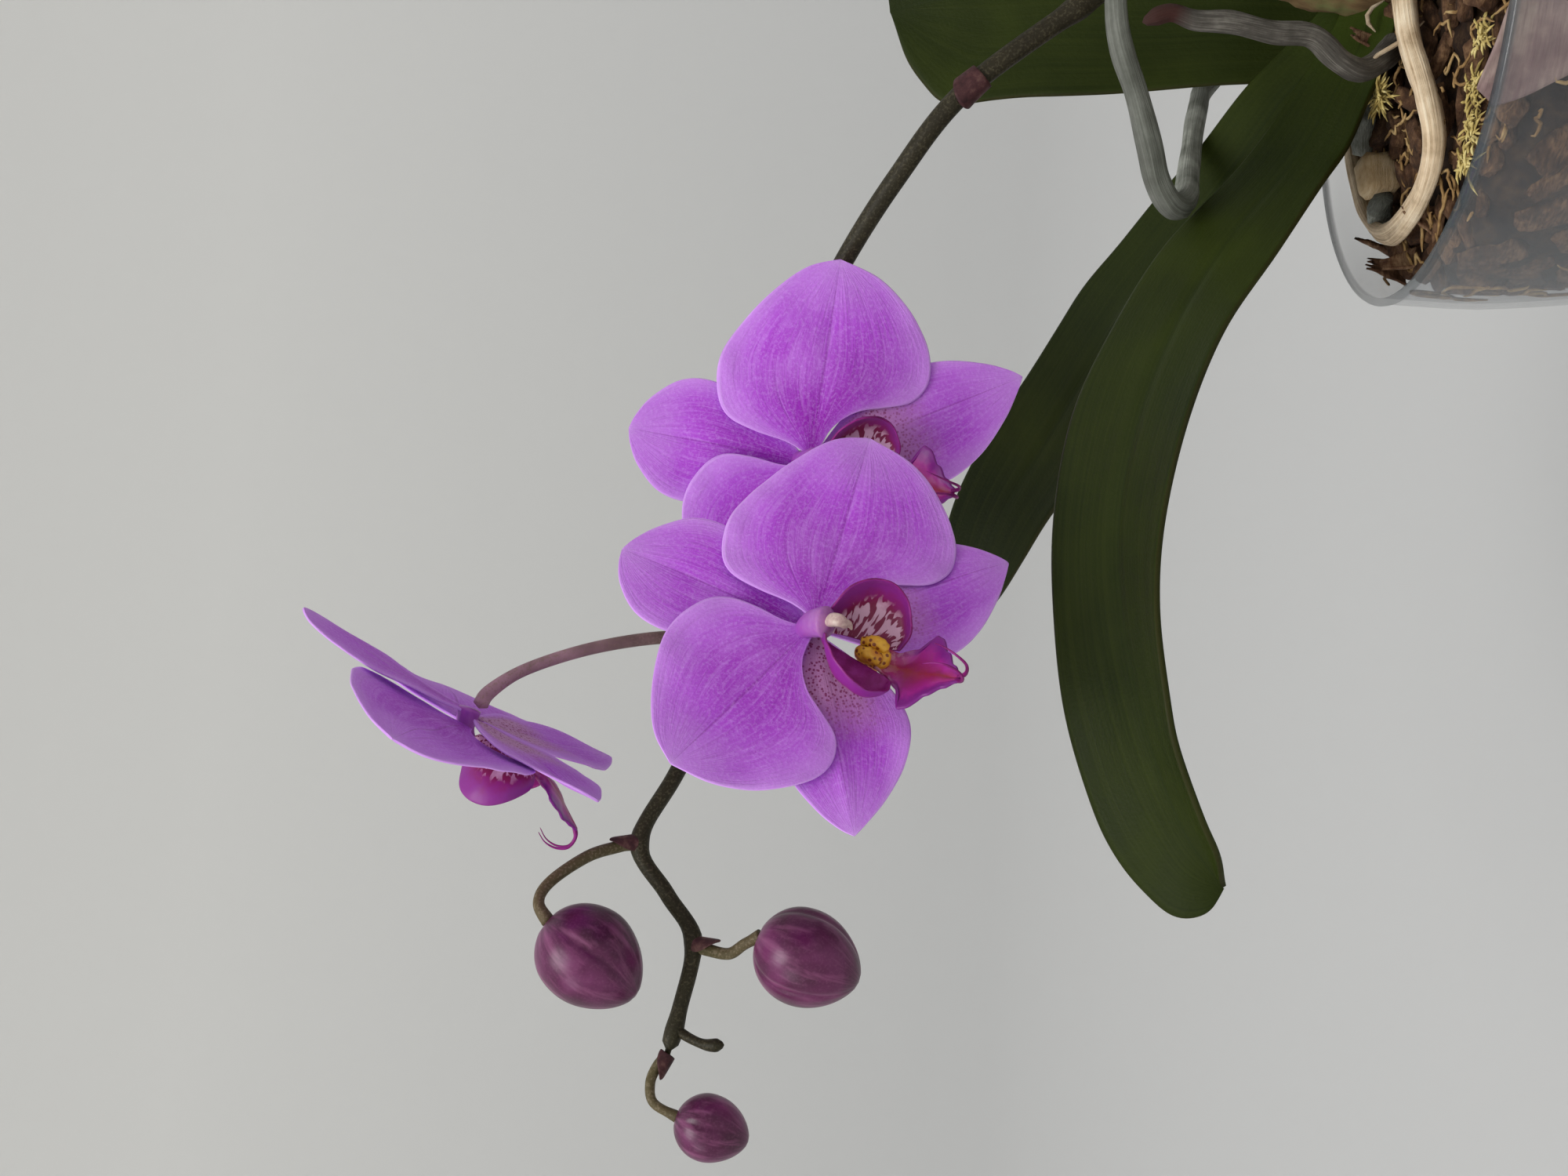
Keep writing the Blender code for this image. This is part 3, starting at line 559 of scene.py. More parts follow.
husk_brown = rubbed_material(
    "curled_husk", (0.035, 0.015, 0.008), (0.13, 0.065, 0.035), (0.33, 0.21, 0.12), 380, stretch=(1, 1, 4)
)
husks = []
for i, (x, y, tall, lean, turn) in enumerate((
    (-0.90, 0.24, 0.0075, 0.15, 1.7), (-0.86, 0.05, 0.0065, -0.30, 2.2), (-0.80, -0.16, 0.0060, 0.35, 1.3),
    (-0.78, 0.36, 0.0070, 0.25, 2.8), (0.02, -0.06, 0.0075, 0.20, 0.4), (0.22, 0.04, 0.0090, -0.25, 1.0),
    (-0.13, 0.14, 0.0080, 0.35, 2.0), (0.40, 0.34, 0.0065, 0.10, 1.6),
)):
    foot = on_medium(x, y, -0.0012)

    def husk_shape(u, v, foot=foot, tall=tall, lean=lean, turn=turn, seed=i):
        curl = turn + v * (1.1 - 0.5 * u)
        reach = 0.0030 * (1.0 - 0.35 * u) + 0.0006 * noise.noise(Vector((u * 3, v * 2, seed)))
        jagged = tall * (1.0 + 0.35 * noise.noise(Vector((v * 3.3, seed * 2.7, 0)))) * u
        return foot + Vector((reach * math.cos(curl) + lean * jagged, reach * math.sin(curl), jagged))
    husks.append(thick(sheet("husk", 8, 10, husk_shape), 0.0005))
finished(joined(husks, "curled_husks"), husk_brown, "bark_and_moss", "husk_left")


def star_tuft(name, centre, reach, count, spread):
    """Dry star moss: narrow leaflets that stand out all round from one point."""
    lines = []
    for i in range(count):
        rise = draw.uniform(-0.15, 1.0)
        turn = draw.uniform(-math.pi, math.pi)
        way = Vector((math.cos(turn), math.sin(turn), rise)).normalized()
        length = reach * draw.uniform(0.65, 1.1)
        droop = Vector((0, 0, -0.35 * length))
        start = Vector(centre) + Vector((draw.gauss(0, spread), draw.gauss(0, spread), draw.gauss(0, spread * 0.3)))
        lines.append([start + way * length * s + droop * s * s for s in (0, 0.33, 0.66, 1.0)])
    return strands(name, lines, 0.00030, ends=0.15, sides=0)


star_yellow = rubbed_material("star_moss", (0.30, 0.21, 0.06), (0.55, 0.43, 0.15), (0.80, 0.70, 0.34), 600,
                              depth=0.0002)
finished(star_tuft("star_moss_back", on_medium(-0.33, 0.06, 0.0030), 0.0048, 70, 0.0010), star_yellow, "moss",
         "moss_tuft_back")
tufts = [star_tuft("tuft", on_medium(x, y, 0.0012), reach, 46, 0.0013) for x, y, reach in
         ((-0.66, -0.50, 0.0040), (-0.56, -0.56, 0.0034), (-0.45, -0.60, 0.0036), (-0.52, 0.42, 0.0042),
          (0.18, -0.72, 0.0032), (-0.30, -0.66, 0.0030))]
finished(joined(tufts, "star_moss_front"), star_yellow, "moss", "moss_tuft_front")

LEAF_SCRAP_START = math.radians(-122)
DEAD_LEAF_DEPTH = POT_WALL + MEDIUM_CLEARANCE / 2


def scrap_shape(u, v):
    """Pointed at its upper left, widening down and to the right, pressed against the wall."""
    half = 0.0155 * math.sin(math.pi * min(0.60, 0.05 + u * 0.60)) + 0.0009 * noise.noise(Vector((u * 6, v, 3)))
    run = Vector((0.046, -0.036)) * u
    side_way = Vector((0.036, 0.046)).normalized() * (v * half + 0.003 * u)
    across = run.x + side_way.x
    height = POT_HEIGHT + min(0.0035, run.y + side_way.y)
    turn = LEAF_SCRAP_START + across / RIM_RADIUS
    ripple = 0.0003 * noise.noise(Vector((u * 5, v * 3, 0)))
    radius = pot_radius(height) - DEAD_LEAF_DEPTH + ripple
    return Vector((radius * math.cos(turn), radius * math.sin(turn), height))


scrap = thick(sheet("dry_leaf_scrap", 36, 18, scrap_shape), 0.0004)
dry_leaf, tree, shader = new_material("dry_leaf", Roughness=0.75, Specular_IOR_Level=0.3)
place = object_place(tree)
blotch = cloudy(tree, place, 70, 5, 0.6)
drawn = node(tree, "Mapping", Vector=place, Rotation=(0, 0.75, 0), Scale=(1, 1, 9)).outputs["Vector"]
ribs = cloudy(tree, drawn, 120, 3)
tone = ramp(tree, blotch, (0.34, (0.14, 0.085, 0.085)), (0.52, (0.26, 0.18, 0.17)), (0.68, (0.42, 0.33, 0.28)))
tone = mix(tree, span(tree, ribs, 0.45, 0.7, 0, 0.5),
           tone, (0.16, 0.09, 0.10))
surfaced(tree, shader, tone, ribs, 0.5, 0.0005)
finished(scrap, dry_leaf, "dry_leaf", "dead_leaf")

# --- Roots ----------------------------------------------------------------------------------
# Aerial roots, four to five millimetres thick, under a dull silver skin that is wrinkled
# lengthwise.  One loops out to the left, one stands up with a red-brown growing tip, and one
# has dried to a flat tan ribbon that lies round the top of the medium.
def at(x, y, z):
    """A plant point, in millimetres from the centre of the rim."""
    return Vector((x / 1000, y / 1000, POT_HEIGHT + z / 1000))


def path(points):
    """A smooth curve through the points, as a function of the share of its length."""
    knots = [Vector(point) for point in points]
    ends = [knots[0] * 2 - knots[1], *knots, knots[-1] * 2 - knots[-2]]
    line = []
    for a, b, c, d in zip(ends, ends[1:], ends[2:], ends[3:]):
        for k in range(12):
            t = k / 12
            line.append(0.5 * (2 * b + (c - a) * t + (2 * a - 5 * b + 4 * c - d) * t**2
                               + (3 * b - a - 3 * c + d) * t**3))
    line.append(knots[-1])
    reach = [0.0]
    for a, b in zip(line, line[1:]):
        reach.append(reach[-1] + (b - a).length)

    def spot(share):
        want = min(max(share, 0.0), 1.0) * reach[-1]
        i = bisect.bisect_left(reach, want, 1, len(reach) - 1)
        return line[i - 1].lerp(line[i], (want - reach[i - 1]) / max(1e-9, reach[i] - reach[i - 1]))
    spot.length = reach[-1]
    return spot


def stalk(name, points, thickness, rows, sides=16, surface=None, start_way=(0, 0, 1)):
    """A closed stalk along a route.  thickness(u) is its radius, and surface(u, angle) its skin's
    share of that radius."""
    route = path(points)
    rings = []
    way = Vector(start_way)
    for i in range(rows + 1):
        share = i / rows
        along = (route(min(1.0, share + 0.004)) - route(max(0.0, share - 0.004))).normalized()
        way = way - along * way.dot(along)
        if way.length < 1e-6:
            way = along.orthogonal()
        way.normalize()
        rings.append((route(share), way.copy(), along.cross(way)))

    def shape(u, v):
        centre, one, two = rings[round(u * rows)]
        angle = v * math.pi
        close = 0.02 if u in (0.0, 1.0) else 1.0
        radius = thickness(u) * close * (surface(u, angle) if surface else 1.0)
        return centre + (one * math.cos(angle) + two * math.sin(angle)) * radius
    obj = sheet(name, rows, sides, shape)
    on_all_faces(obj, bpy.ops.mesh.remove_doubles, threshold=0.000008)
    on_all_faces(obj, bpy.ops.mesh.fill_holes, sides=0)
    on_all_faces(obj, bpy.ops.mesh.normals_make_consistent, inside=False)
    return obj


def stations(*pairs):
    """A value read between (share, value) pairs, with a smooth step from each to the next."""
    def value(share):
        for (low, a), (high, b) in zip(pairs, pairs[1:]):
            if share <= high:
                t = max(0.0, (share - low) / (high - low))
                return a + (b - a) * t * t * (3 - 2 * t)
        return pairs[-1][1]
    return value


def wrinkled(seed, deep, folds, lumps=0.10):
    """Folds that run lengthwise, and slow lumps along a root."""
    def skin(u, angle):
        around = Vector((math.cos(angle), math.sin(angle), 0)) * folds
        crease = noise.noise(around + Vector((seed, 0, u * 9)))
        lump = noise.noise(Vector((u * 14, seed * 3.7, 0)))
        return 1.0 + deep * crease + lumps * lump
    return skin


def unrolled(tree):
    """The piece's own UV map: U runs along it and V round or across it."""
    return node(tree, "UVMap", {"uv_map": "UVMap"}).outputs["UV"]


def root_material(name, dark, mid, light, tip=None, tip_from=0.9, tip_share=1.0):
    material, tree, shader = new_material(name, Roughness=0.78, Specular_IOR_Level=0.3)
    uv = unrolled(tree)
    place = object_place(tree)
    lines = stretched(tree, uv, (7, 34, 1))
    streak = cloudy(tree, lines, 1.0, 5, 0.65)
    patch = cloudy(tree, place, 160, 4, 0.6)
    both = blend_values(tree, 0.45, streak, patch)
    tone = ramp(tree, both, (0.36, dark), (0.50, mid), (0.64, light))
    if tip:
        along = node(tree, "SeparateXYZ", Vector=uv).outputs["X"]
        ragged = maths(tree, "MULTIPLY_ADD", patch, 0.06, along)
        tone = mix(tree, span(tree, ragged, tip_from, tip_from + 0.05, 0, tip_share), tone, tip)
    surfaced(tree, shader, tone, both, 0.9, 0.0008)
    return material


ROOT_RADIUS = 0.0023
silver = root_material("silver_root", (0.11, 0.115, 0.095), (0.25, 0.26, 0.225), (0.46, 0.47, 0.42),
                       (0.060, 0.064, 0.050), 0.56,
                       0.62)
looped = stalk(
    "root_looped_silver",
    [at(2, 28, 3), at(2, 44, 10), at(-1, 52, 20), at(-8.5, 50, 27.5), at(-14, 44, 30), at(-21.5, 36, 32.5),
     at(-33, 22, 36),
     at(-40, 11, 38.5), at(-43.5, 4, 41.5), at(-43, 0.5, 44.5), at(-39, -1.5, 47.3), at(-33.5, -4, 49.5),
     at(-24.5, -6, 53),
     at(-15.5, -6, 56.5), at(-6.5, -5, 58), at(9, -6, 59), at(22, -4, 57)],
    stations((0, ROOT_RADIUS), (0.35, ROOT_RADIUS * 0.92), (0.58, ROOT_RADIUS * 1.12), (0.8, ROOT_RADIUS),
             (0.97, ROOT_RADIUS * 0.8),
             (1.0, ROOT_RADIUS * 0.3)),
    150, 20, wrinkled(1.3, 0.20, 1.9),
)
finished(looped, silver, "silver_root", "root_looped")
rising_silver = root_material(
    "silver_root_red_tip", (0.035, 0.031, 0.026), (0.080, 0.072, 0.060), (0.20, 0.185, 0.16),
    (0.040, 0.008, 0.005), 0.87, 0.9
)
foot_lift = 1000 * (medium_top(-0.011, 0.003) - POT_HEIGHT)
rising = stalk(
    "root_rising_silver",
    [at(-9, 2, foot_lift + 1), at(-13, -4, 4.5), at(-17, -8, 10), at(-16, -10, 15), at(-12, -11, 21),
     at(-12, -12, 29), at(-11, -13, 37), at(-11, -13, 44), at(-10, -13, 49), at(-12, -12, 54)],
    stations((0, ROOT_RADIUS * 1.15), (0.2, ROOT_RADIUS * 1.05), (0.55, ROOT_RADIUS * 0.95), (0.8, ROOT_RADIUS * 0.9),
             (0.95, ROOT_RADIUS * 0.72), (1.0, ROOT_RADIUS * 0.35)),
    90, 20, wrinkled(5.1, 0.16, 1.7),
)
finished(rising, rising_silver, "silver_root", "root_rising")

stub_points = [on_medium(x, y, 0.0030) for x, y in ((-0.48, 0.37), (-0.36, 0.32), (-0.24, 0.31))]
other_stub = [on_medium(x, y, 0.0026) for x, y in ((-0.76, 0.30), (-0.70, 0.24), (-0.66, 0.15))]
stub_skin = stations((0, ROOT_RADIUS * 0.9), (0.5, ROOT_RADIUS * 1.1), (1.0, ROOT_RADIUS * 0.85))
stubs = [stalk("stub", points, stub_skin, 24, 16, wrinkled(8.0 + i, 0.12, 1.6)) for i, points in
         enumerate((stub_points, other_stub))]
finished(joined(stubs, "root_stubs_grey"), silver, "silver_root", "root_stub_grey")

tan = root_material("dry_root_tan", (0.34, 0.23, 0.13), (0.70, 0.54, 0.36), (0.92, 0.79, 0.59))
shares = [
    (0.62, -0.42), (0.34, -0.26), (0.05, -0.16), (-0.18, -0.22), (-0.42, -0.36), (-0.59, -0.38),
    (-0.73, -0.22), (-0.80, 0.10), (-0.72, 0.34), (-0.50, 0.52), (-0.30, 0.60),
]


def ribbon_skin(u, angle):
    """A dried root is a flattened, twisted ribbon with sharp lengthwise pleats."""
    twist = 0.55 * math.sin(u * 9.0 + 0.6)
    flat = 0.58 + 0.62 * abs(math.sin(angle + twist))
    pleat = noise.noise(Vector((math.cos(angle) * 2.8, math.sin(angle) * 2.8, u * 5)))
    return flat * (1.0 + 0.20 * pleat) + 0.12 * noise.noise(Vector((u * 22, 4, 0)))


ribbon = stalk(
    "root_dry_ribbon", [on_medium(x, y, ROOT_RADIUS + 0.0010) for x, y in shares],
    stations((0, ROOT_RADIUS * 1.05), (0.25, ROOT_RADIUS * 1.15), (0.45, ROOT_RADIUS * 1.2),
             (0.6, ROOT_RADIUS * 0.85), (1.0, ROOT_RADIUS * 0.8)),
    170, 24, ribbon_skin,
)
finished(ribbon, tan, "dry_root", "root_dry")
rootlets = [
    [at(-17, -8, 10) + Vector((0.004 * t, -0.001 * t, -0.0045 * t)) * 1.5 + Vector((0.0006 * math.sin(4 * t), 0, 0))
     for t in (0, 0.4, 0.8, 1.2, 1.6)],
    [at(-5, 10, 3) + Vector((0.004 * t, -0.002, 0.004 * t * (1.4 - t))) for t in (0, 0.4, 0.8, 1.2, 1.6)],
]
finished(strands("rootlets", rootlets, 0.0005, ends=0.3, sides=1), tan, "dry_root")

# --- Stem and leaves ------------------------------------------------------------------------
# A short upright stem, hidden by the leaves that clasp it.  The leaves are thick leathery
# straps, folded into a channel at the base, with a sunk midrib and a blunt tip.
STEM_X, STEM_Y = 0.007, 0.016
stem_low = medium_top(STEM_X, STEM_Y) - 0.010
stem = stalk(
    "stem_woody", [Vector((STEM_X, STEM_Y, stem_low + 0.034 * s)) for s in (0, 0.25, 0.5, 0.75, 1.0)],
    stations((0, 0.0066), (0.3, 0.0070), (0.7, 0.0062), (0.95, 0.0045), (1.0, 0.003)), 40, 28,
    wrinkled(2.2, 0.10, 2.4, 0.05),
)
sheath_tan = rubbed_material("old_leaf_sheath", (0.07, 0.035, 0.018), (0.20, 0.13, 0.06), (0.16, 0.20, 0.07),
                             240, stretch=(1, 1, 0.2))
finished(stem, sheath_tan, "dry_root", "stem")

leaf_green, tree, shader = new_material("leaf_green", Roughness=0.48, Specular_IOR_Level=0.10)
uv = unrolled(tree)
place = object_place(tree)
lines = stretched(tree, uv, (2.2, 46, 1))
fibre_lines = cloudy(tree, lines, 1.0, 4, 0.55)
cloud = cloudy(tree, place, 26, 4, 0.55)
cells = cloudy(tree, place, 1500, 2)
green = ramp(tree, cloud, (0.30, (0.009, 0.015, 0.0016)), (0.55, (0.017, 0.025, 0.0026)),
             (0.75, (0.029, 0.041, 0.0045)))
streaks = span(tree, fibre_lines, 0.38, 0.75, 0, 0.40)
green = mix(tree, streaks, green, (0.036, 0.047, 0.007))
apart = node(tree, "SeparateXYZ", Vector=uv)
fresh = span(tree, apart.outputs["X"], 0.02, 0.22, 0.45, 0.0)
green = mix(tree, fresh, green, (0.065, 0.105, 0.014))
off_middle = maths(tree, "ABSOLUTE", maths(tree, "SUBTRACT", apart.outputs["Y"], 0.5))
# Painted shade: the sunk midrib is coloured darker along the leaf's middle line.
midrib_shade = span(tree, off_middle, 0.0, 0.030, 0.45, 0.0)
green = mix(tree, midrib_shade, green, (0.012, 0.020, 0.004))
purple_edge = span(tree, off_middle, 0.490, 0.5, 0.0, 0.35)
green = mix(tree, purple_edge, green, (0.040, 0.026, 0.012))
surfaced(tree, shader, green, maths(tree, "ADD", fibre_lines, cells), 0.35, 0.00025)
tree.links.new(span(tree, cloud, 0.3, 0.7, 0.40, 0.56), shader.inputs["Roughness"])


def strap_leaf(name, far, middle, near, node_name, seed):
    """A leathery blade between its far and its near edge, folded along its middle; all three
    lines end in the tip."""
    lines = [path(line) for line in (far, middle, near)]

    def shape(u, v):
        share = 0.5 - 0.5 * math.cos(math.pi * u)
        back, fold, front = (line(share) for line in lines)
        half = (back - front) / 2
        spot = fold + half * v + ((back + front) / 2 - fold) * (v * v)
        crease = 0.05 * math.exp(-((v / 0.10) ** 2)) * math.sin(math.pi * min(1.0, share * 1.05))
        wave = 0.045 * abs(v) * noise.noise(Vector((share * 5, v * 0.8, seed)))
        return spot + Vector((0, 0, half.length * (wave - crease)))
    obj = thick(sheet(name, 90, 28, shape), 0.0014)
    apply_modifier(obj, "SUBSURF", levels=1, render_levels=1)
    return finished(obj, leaf_green, "leaf_green", node_name)


def edges(points, half_width, across, tilt_from, tilt_to, fold):
    """The three lines of a leaf that is even about its middle line, with a round tip."""
    route = path(points)
    sides = ([], [], [])
    for i in range(13):
        share = 1 - (1 - i / 12) ** 1.7
        round_off = math.sqrt(max(0.0, 1.0 - max(0.0, (share - 0.86) / 0.14) ** 2))
        half = half_width * min(1.0, 0.72 + 0.5 * share) * round_off
        along = (route(min(1.0, share + 0.02)) - route(max(0.0, share - 0.02))).normalized()
        out = (across - along * across.dot(along)).normalized()
        out.rotate(Matrix.Rotation(math.radians(tilt_from + (tilt_to - tilt_from) * share), 3, along))
        spot = route(share)
        up = out.cross(along) * (half * fold)
        sides[0].append(spot + out * half + up)
        sides[1].append(spot)
        sides[2].append(spot - out * half + up)
    return sides


strap_leaf(
    "strap_leaf_front",
    [at(5, 18, 6), at(-4, 19, 9.5), at(-13, 19, 14.5), at(-25, 17, 21.5), at(-36, 14, 29.5), at(-51, 9, 42.5),
     at(-68, 4, 52.5), at(-86, 1.5, 60),
     at(-106, -1, 63), at(-125, -8, 63.5), at(-144, -13, 61), at(-162, -16, 54.5), at(-171, -18, 49.5),
     at(-177, -20, 44), at(-180.5, -23, 39), at(-179, -25.5, 34), at(-174, -26, 31.5)],
    [at(3, 13, 1.5), at(-7, 11.5, 4.5), at(-16, 10, 9), at(-28, 6, 15.5), at(-38, 2, 22.5), at(-52, -4, 33.5),
     at(-69, -10, 43.5), at(-87, -13, 50),
     at(-106, -15, 53), at(-124.5, -22, 52.5), at(-142, -27, 49), at(-154, -28, 44.5), at(-164, -28, 39.5),
     at(-171, -27, 34), at(-174, -26, 31.5)],
    [at(-1, 7, -1.5), at(-11, 4, 1.5), at(-20, 2, 5.5), at(-31, -3, 10.5), at(-40, -9, 17),
     at(-54.5, -16, 26.5), at(-70.5, -23, 37), at(-88, -26, 43.5),
     at(-106, -28, 47), at(-124, -34, 48.5), at(-141.5, -38, 46.5), at(-150, -37.5, 44), at(-161, -35, 38.5),
     at(-168, -31, 34), at(-174, -26, 31.5)],
    "leaf_front", 2.0,
)
strap_leaf(
    "strap_leaf_back",
    [at(8, 24, 6), at(-1, 27, 13), at(-12.5, 31, 23), at(-25, 36, 31), at(-36, 41, 39), at(-45.5, 45, 45.5),
     at(-54, 49, 51.5),
     at(-63, 53, 56), at(-73, 58, 61), at(-88, 63, 69.5), at(-102, 66, 75), at(-115, 66, 77), at(-124, 64, 74.5),
     at(-129, 62, 69)],
    [at(5, 18, 2), at(-7, 20, 9.5), at(-18, 23, 18), at(-30, 27, 25), at(-44, 33, 34), at(-58, 38, 43),
     at(-74, 46, 50.5),
     at(-90, 52, 58), at(-106, 57, 65.5), at(-120, 60, 69), at(-129, 62, 69)],
    [at(3, 14, 0), at(-12, 14, 7), at(-25, 15, 14), at(-36, 18, 21), at(-48, 23, 30), at(-64, 30, 38.5),
     at(-83, 37, 46.5),
     at(-97, 41, 52.5), at(-106, 47, 57), at(-115, 52, 61), at(-123.5, 57.5, 65), at(-129, 62, 69)],
    "leaf_back", 5.0,
)
strap_leaf(
    "strap_leaf_upright",
    *edges([at(8, 29, 1), at(8.5, 33, 13), at(9, 35, 26), at(9.5, 39.5, 44), at(10, 44.5, 62), at(9, 50, 78),
            at(7, 55, 90), at(5, 58, 97)], 0.0245, Vector((1, 0, 0)), 0, -4, 0.12),
    "leaf_upright", 9.0,
)
strap_leaf(
    "strap_leaf_right",
    *edges([at(16, 9, 3), at(30, 4, 14), at(52, 0, 30), at(78, -5, 40), at(104, -10, 41), at(124, -12, 34),
            at(137.5, -12, 24)], 0.0205, Vector((0, 1, 0)), 26, 12, 0.26),
    "leaf_right", 12.0,
)

# --- Flower spike ---------------------------------------------------------------------------
# A wiry olive-brown stalk that arches out to the left and zigzags from node to node.  Each node
# is a little swollen and keeps a small reddish papery bract under its flower stalk.
SPIKE_RADIUS = 0.0023
SPIKE_ROUTE = [
    at(13, 5, 20), at(14, 6, 30), at(10, 8, 41), at(4, 9, 52), at(-4, 10, 63), at(-22, 12, 84.5),
    at(-39, 18, 96.5), at(-56, 28, 106), at(-77, 35, 115), at(-100, 42, 122), at(-118, 44, 126),
    at(-136, 43, 124), at(-150, 40, 127), at(-165, 36, 134), at(-179, 32, 140.5), at(-189, 29, 134),
    at(-198, 27, 128), at(-212, 24, 130), at(-221, 22, 132),
]
spike_line = path(SPIKE_ROUTE)
NODES = [at(-4, 10, 63), at(-87, 38, 118.5), at(-121, 44, 126), at(-136, 43, 124), at(-179, 32, 140.5),
         at(-198, 27, 128), at(-216, 23, 131)]


def spike_thickness(u):
    spot = spike_line(u)
    swell = sum(math.exp(-(((spot - one).length / 0.0028) ** 2)) for one in NODES)
    end = 0.4 if u > 0.995 else 1.0
    return SPIKE_RADIUS * (1.0 - 0.30 * u) * (1.0 + 0.22 * swell) * end


def stalk_material(name, low, high, speck, blend_from, blend_to, roughness=0.5):
    """low and high are the colours at the stalk's foot and at its far end."""
    material, tree, shader = new_material(name, Roughness=roughness, Specular_IOR_Level=0.18)
    uv = unrolled(tree)
    place = object_place(tree)
    along = node(tree, "SeparateXYZ", Vector=uv).outputs["X"]
    share = span(tree, along, blend_from, blend_to)
    tone = mix(tree, share, low, high)
    grain = cloudy(tree, place, 1900, 2)
    specks = span(tree, grain, 0.50, 0.68, 0, 0.75)
    tone = mix(tree, specks, tone, speck)
    cloud = cloudy(tree, place, 140, 3)
    shade = span(tree, cloud, 0.35, 0.65, 0, 0.45)
    tone = mix(tree, shade, tone, tuple(0.45 * part for part in low))
    surfaced(tree, shader, tone, grain, 0.35, 0.0002)
    return material


olive = stalk_material("spike_olive", (0.026, 0.021, 0.011), (0.027, 0.024, 0.011), (0.085, 0.072, 0.042), 0.1, 0.9)
spike = stalk("spike_olive_stalk", SPIKE_ROUTE, spike_thickness, 230, 18)
finished(spike, olive, "spike_olive", "flower_spike")
bract_red = rubbed_material(
    "bract_papery", (0.022, 0.006, 0.008), (0.060, 0.020, 0.022), (0.17, 0.085, 0.070), 520, roughness=0.6,
    depth=0.0002
)


def bract(name, foot, way, out, length, radius, wrap=1.5):
    """A pointed scale that hugs a stalk: way is the stalk's direction, out its own side."""
    way = Vector(way).normalized()
    out = (Vector(out) - way * Vector(out).dot(way)).normalized()
    beside = way.cross(out)

    def shape(u, v):
        angle = v * wrap * (1.0 - u**1.6) + 0.0001 * v  # the last term keeps the point's vertices apart
        hug = radius * (1.0 + 0.25 * u)
        return foot + way * (length * u) + (out * math.cos(angle) + beside * math.sin(angle)) * hug
    return thick(sheet(name, 12, 10, shape), 0.0004, 1)


def sheath_shape(u, v):
    """The spike's lower bract: a collar right round the node that runs up to one point."""
    centre = spike_line(0.238 + 0.024 * (u * (0.45 + 0.55 * math.cos(v * math.pi / 2) ** 2)))
    before, after = spike_line(0.230), spike_line(0.265)
    way = (after - before).normalized()
    out = Vector((-0.6, -0.8, 0.0))
    out = (out - way * out.dot(way)).normalized()
    beside = way.cross(out)
    angle = v * math.pi
    return centre + (out * math.cos(angle) + beside * math.sin(angle)) * (0.00262 + 0.00035 * u)


finished(thick(sheet("spike_sheath_bract", 12, 24, sheath_shape), 0.0004), bract_red, "bract_purple", "spike_sheath")
finished(
    stalk("bud_aborted", [at(-216, 23, 130), at(-217, 20, 127), at(-217.5, 18, 124), at(-217, 16.5, 120.5)],
          stations((0, 0.0011), (0.5, 0.0010), (0.85, 0.0014), (1.0, 0.0006)), 24, 12),
    olive, "spike_olive", "aborted_bud",
)

# --- Flowers --------------------------------------------------------------------------------
# Three open flowers, each with a dorsal sepal, two lateral sepals and two broad petals, thin and
# velvety, with paler margins and a darker line down the middle that is painted shade in its crease.
FLOWERS = {
    "flower_front": (at(-131, -24, 110), (26, 0, 30)),
    "flower_middle": (at(-98, 20, 110.5), (11, 0, 4)),
    "flower_top": (at(-155, 24, 176), (0, 24, -94)),
}


def flower_frame(centre, roll, pitch, yaw):
    """Columns: the flower's right, its up, and its face; roll leans its top to the right, pitch
    lifts its face and yaw turns its face to the right."""
    lean = math.radians(roll)
    right = Vector((math.cos(lean), 0, -math.sin(lean)))
    up = Vector((math.sin(lean), 0, math.cos(lean)))
    turn = Matrix.Rotation(math.radians(yaw), 3, "Z") @ Matrix.Rotation(math.radians(-pitch), 3, "X")
    axes = turn @ Matrix((right, up, (0, -1, 0))).transposed()
    return Matrix.Translation(centre) @ axes.to_4x4() @ Matrix.Scale(0.001, 4)


def flat_point(pair):
    return Vector((pair[0], pair[1], 0.0))


def blade(name, place, turn, left, right, height, wall=0.55, rows=44, columns=34):
    """A petal or sepal in millimetres.  turn is its direction, clockwise from the flower's up;
    left and right are its edges, as (along, out) pairs from the claw to the shared tip; height
    gives how far each point (along, out) stands towards the flower's face."""
    first, second = path([flat_point(pair) for pair in left]), path([flat_point(pair) for pair in right])
    tip = left[-1][0]
    claw = left[0][0]
    angle = math.radians(turn)
    forward = Vector((math.sin(angle), math.cos(angle), 0))
    sideways = Vector((math.cos(angle), -math.sin(angle), 0))

    def shape(u, v):
        low, high = first(u), second(u)
        low.y = -low.y
        centre = Vector((claw + (tip - claw) * u, 0, 0))
        spot = centre + (high - low) * (v / 2) + ((high + low) / 2 - centre) * (v * v)
        raised_by = height(spot.x, spot.y)
        return place @ (forward * spot.x + sideways * spot.y + Vector((0, 0, raised_by)))
    obj = sheet(name, rows, columns, shape)
    apply_modifier(obj, "SOLIDIFY", thickness=wall / 1000, offset=0.0)
    apply_modifier(obj, "SUBSURF", levels=1, render_levels=1)
    tidy_mesh(obj)
    return obj


DEEP, MID, PALE = (0.35, 0.023, 0.51), (0.46, 0.082, 0.69), (0.70, 0.38, 0.92)


def from_middle(tree, across):
    """Turns 0 to 1 across a blade into 0 at its middle line and 1 at both edges."""
    return maths(tree, "ABSOLUTE", maths(tree, "MULTIPLY_ADD", across, 2.0, -1.0))


